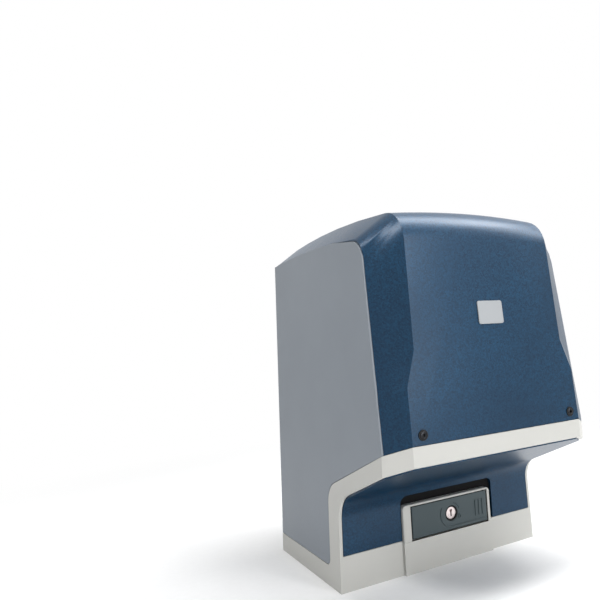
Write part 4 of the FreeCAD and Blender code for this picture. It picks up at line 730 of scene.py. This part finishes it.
# %% What the camera, gloss and glass see
def seen(tree):
    """1 for camera, glossy and transmission rays, 0 for the rays that light a matt surface."""
    path = put(tree, "LightPath")
    clear = put(tree, "Math", {0: path.outputs["Is Glossy Ray"],
                               1: path.outputs["Is Transmission Ray"]}, operation="MAXIMUM")
    both = put(tree, "Math", {0: path.outputs["Is Camera Ray"], 1: clear.outputs["Value"]},
               operation="MAXIMUM")
    return both.outputs["Value"]


# %% Floor card and its fade
SHADOW_REACH = 0.34
FADE_END = 0.85
FIBRE_MM = 6


def floor_sheet(tree, place):
    """Pale matt card with a faint fibre."""
    fibre = put(tree, "TexNoise", {"Vector": place, "Scale": per(FIBRE_MM), "Detail": 2.0})
    tone = put(tree, "Mix", {"Factor": fibre.outputs["Fac"], "A": colour("#FAFAFA"),
                             "B": colour("#FFFFFF")}, data_type="RGBA")
    return {"Base Color": tone.outputs["Result"], "Roughness": 0.9, "Specular IOR Level": 0.1}


def fade_to_white(tree):
    """Blend the card into plain white from SHADOW_REACH to FADE_END metres off the object."""
    place = put(tree, "TexCoord").outputs["Object"]
    away = put(tree, "VectorMath", {0: place}, operation="LENGTH")
    fade = put(tree, "MapRange", {"Value": away.outputs["Value"], "From Min": SHADOW_REACH,
                                  "From Max": FADE_END}, interpolation_type="SMOOTHSTEP")
    share = put(tree, "Math", {0: fade.outputs["Result"], 1: seen(tree)}, operation="MULTIPLY")
    white = put(tree, "Emission", {"Color": (1, 1, 1, 1), "Strength": 1.0})
    card = next(node for node in tree.nodes if node.type == "BSDF_PRINCIPLED")
    end = next(node for node in tree.nodes if node.type == "OUTPUT_MATERIAL")
    mixed = put(tree, "MixShader", {0: share.outputs["Value"], 1: card.outputs["BSDF"],
                                    2: white.outputs["Emission"]})
    tree.links.new(mixed.outputs["Shader"], end.inputs["Surface"])


fade_to_white(material("floor_card", floor_sheet).node_tree)

# %% Floor mesh
FLOOR_HALF = 4.0
FLOOR_POINTS = 9

steps = np.linspace(-FLOOR_HALF, FLOOR_HALF, FLOOR_POINTS)
xs, ys = np.meshgrid(steps, steps)
sheet = np.stack([xs, ys, np.zeros_like(xs)], axis=-1)
facing_up = grid_faces(FLOOR_POINTS, FLOOR_POINTS, False, False)[:, ::-1]
floor_mesh = bpy.data.meshes.new("floor")
floor_mesh.from_pydata(sheet.reshape(-1, 3).tolist(), [], facing_up.tolist())
floor = bpy.data.objects.new("floor", floor_mesh)
bpy.context.scene.collection.objects.link(floor)
floor_mesh.materials.append(MATERIALS["floor_card"])
print("floor: %.0f m wide" % (2 * FLOOR_HALF))

# %% World
ROOM_LIGHT = 0.26

world = bpy.data.worlds.new("studio")
bpy.context.scene.world = world
world.use_nodes = True
tree = world.node_tree
tree.nodes.clear()
room = put(tree, "Background", {"Color": colour("#F4F6F8"), "Strength": ROOM_LIGHT})
white = put(tree, "Background", {"Color": (1, 1, 1, 1), "Strength": 1.0})
mixed = put(tree, "MixShader", {0: seen(tree), 1: room.outputs["Background"],
                                2: white.outputs["Background"]})
put(tree, "OutputWorld", {"Surface": mixed.outputs["Shader"]})
print("world lights matt surfaces at", ROOM_LIGHT)

# %% [markdown]
# ## Lamps
# The light is that of a small product studio. A broad lamp overhead and one high at the right lay
# a pale sheen along the cover's shoulder, a soft one in front opens the front face, one high at the
# left lights the side panel but leaves the chamfer dark, and a low one reaches under the band.
# Together they light a matt card to about its own colour.

# %% Softboxes
LAMP_AIM = (0.0, -0.03, 0.17)


def softbox(name, at, width, height, power):
    """Rectangular area lamp at a point, in metres and watts, facing the middle of the object."""
    lamp = bpy.data.lights.new(name, "AREA")
    lamp.shape = "RECTANGLE"
    lamp.size = width
    lamp.size_y = height
    lamp.energy = power
    holder = bpy.data.objects.new(name, lamp)
    holder.location = at
    holder.rotation_euler = (Vector(LAMP_AIM) - Vector(at)).to_track_quat("-Z", "Y").to_euler()
    bpy.context.scene.collection.objects.link(holder)
    print("lamp %s: %.1f W" % (name, power))


softbox("overhead", (0.35, -0.12, 1.45), 0.5, 1.35, 20)
softbox("shoulder", (0.95, -0.45, 1.15), 0.4, 0.8, 6.5)
softbox("front", (0.35, -1.3, 0.8), 0.25, 0.5, 5)
softbox("left", (-1.0, -0.3, 1.35), 0.35, 0.35, 8)
softbox("low", (0.3, -1.6, 0.3), 0.9, 0.4, 5.5)

# %% [markdown]
# ## Camera
# The camera stands close and low, about level with the badge, and sees the motor's left side and
# its front. The sideways shift puts the motor right of the middle without turning the camera, so
# the perspective of its edges stays the same.

# %% Camera
CAMERA_AT = (-0.3327, -0.563, 0.2167)
CAMERA_TURN = (93.99, 3.58, -31.07)
LENS_MM = 35.56
SIDE_SHIFT = -1 / 6

camera = bpy.data.objects.new("camera", bpy.data.cameras.new("camera"))
camera.location = CAMERA_AT
camera.rotation_euler = [math.radians(turn) for turn in CAMERA_TURN]
camera.data.lens = LENS_MM
camera.data.shift_x = SIDE_SHIFT
camera.data.clip_start = 0.01
bpy.context.scene.collection.objects.link(camera)
bpy.context.scene.camera = camera
bpy.context.scene.view_settings.view_transform = "Standard"
print("camera with a lens of %.1f mm" % LENS_MM)
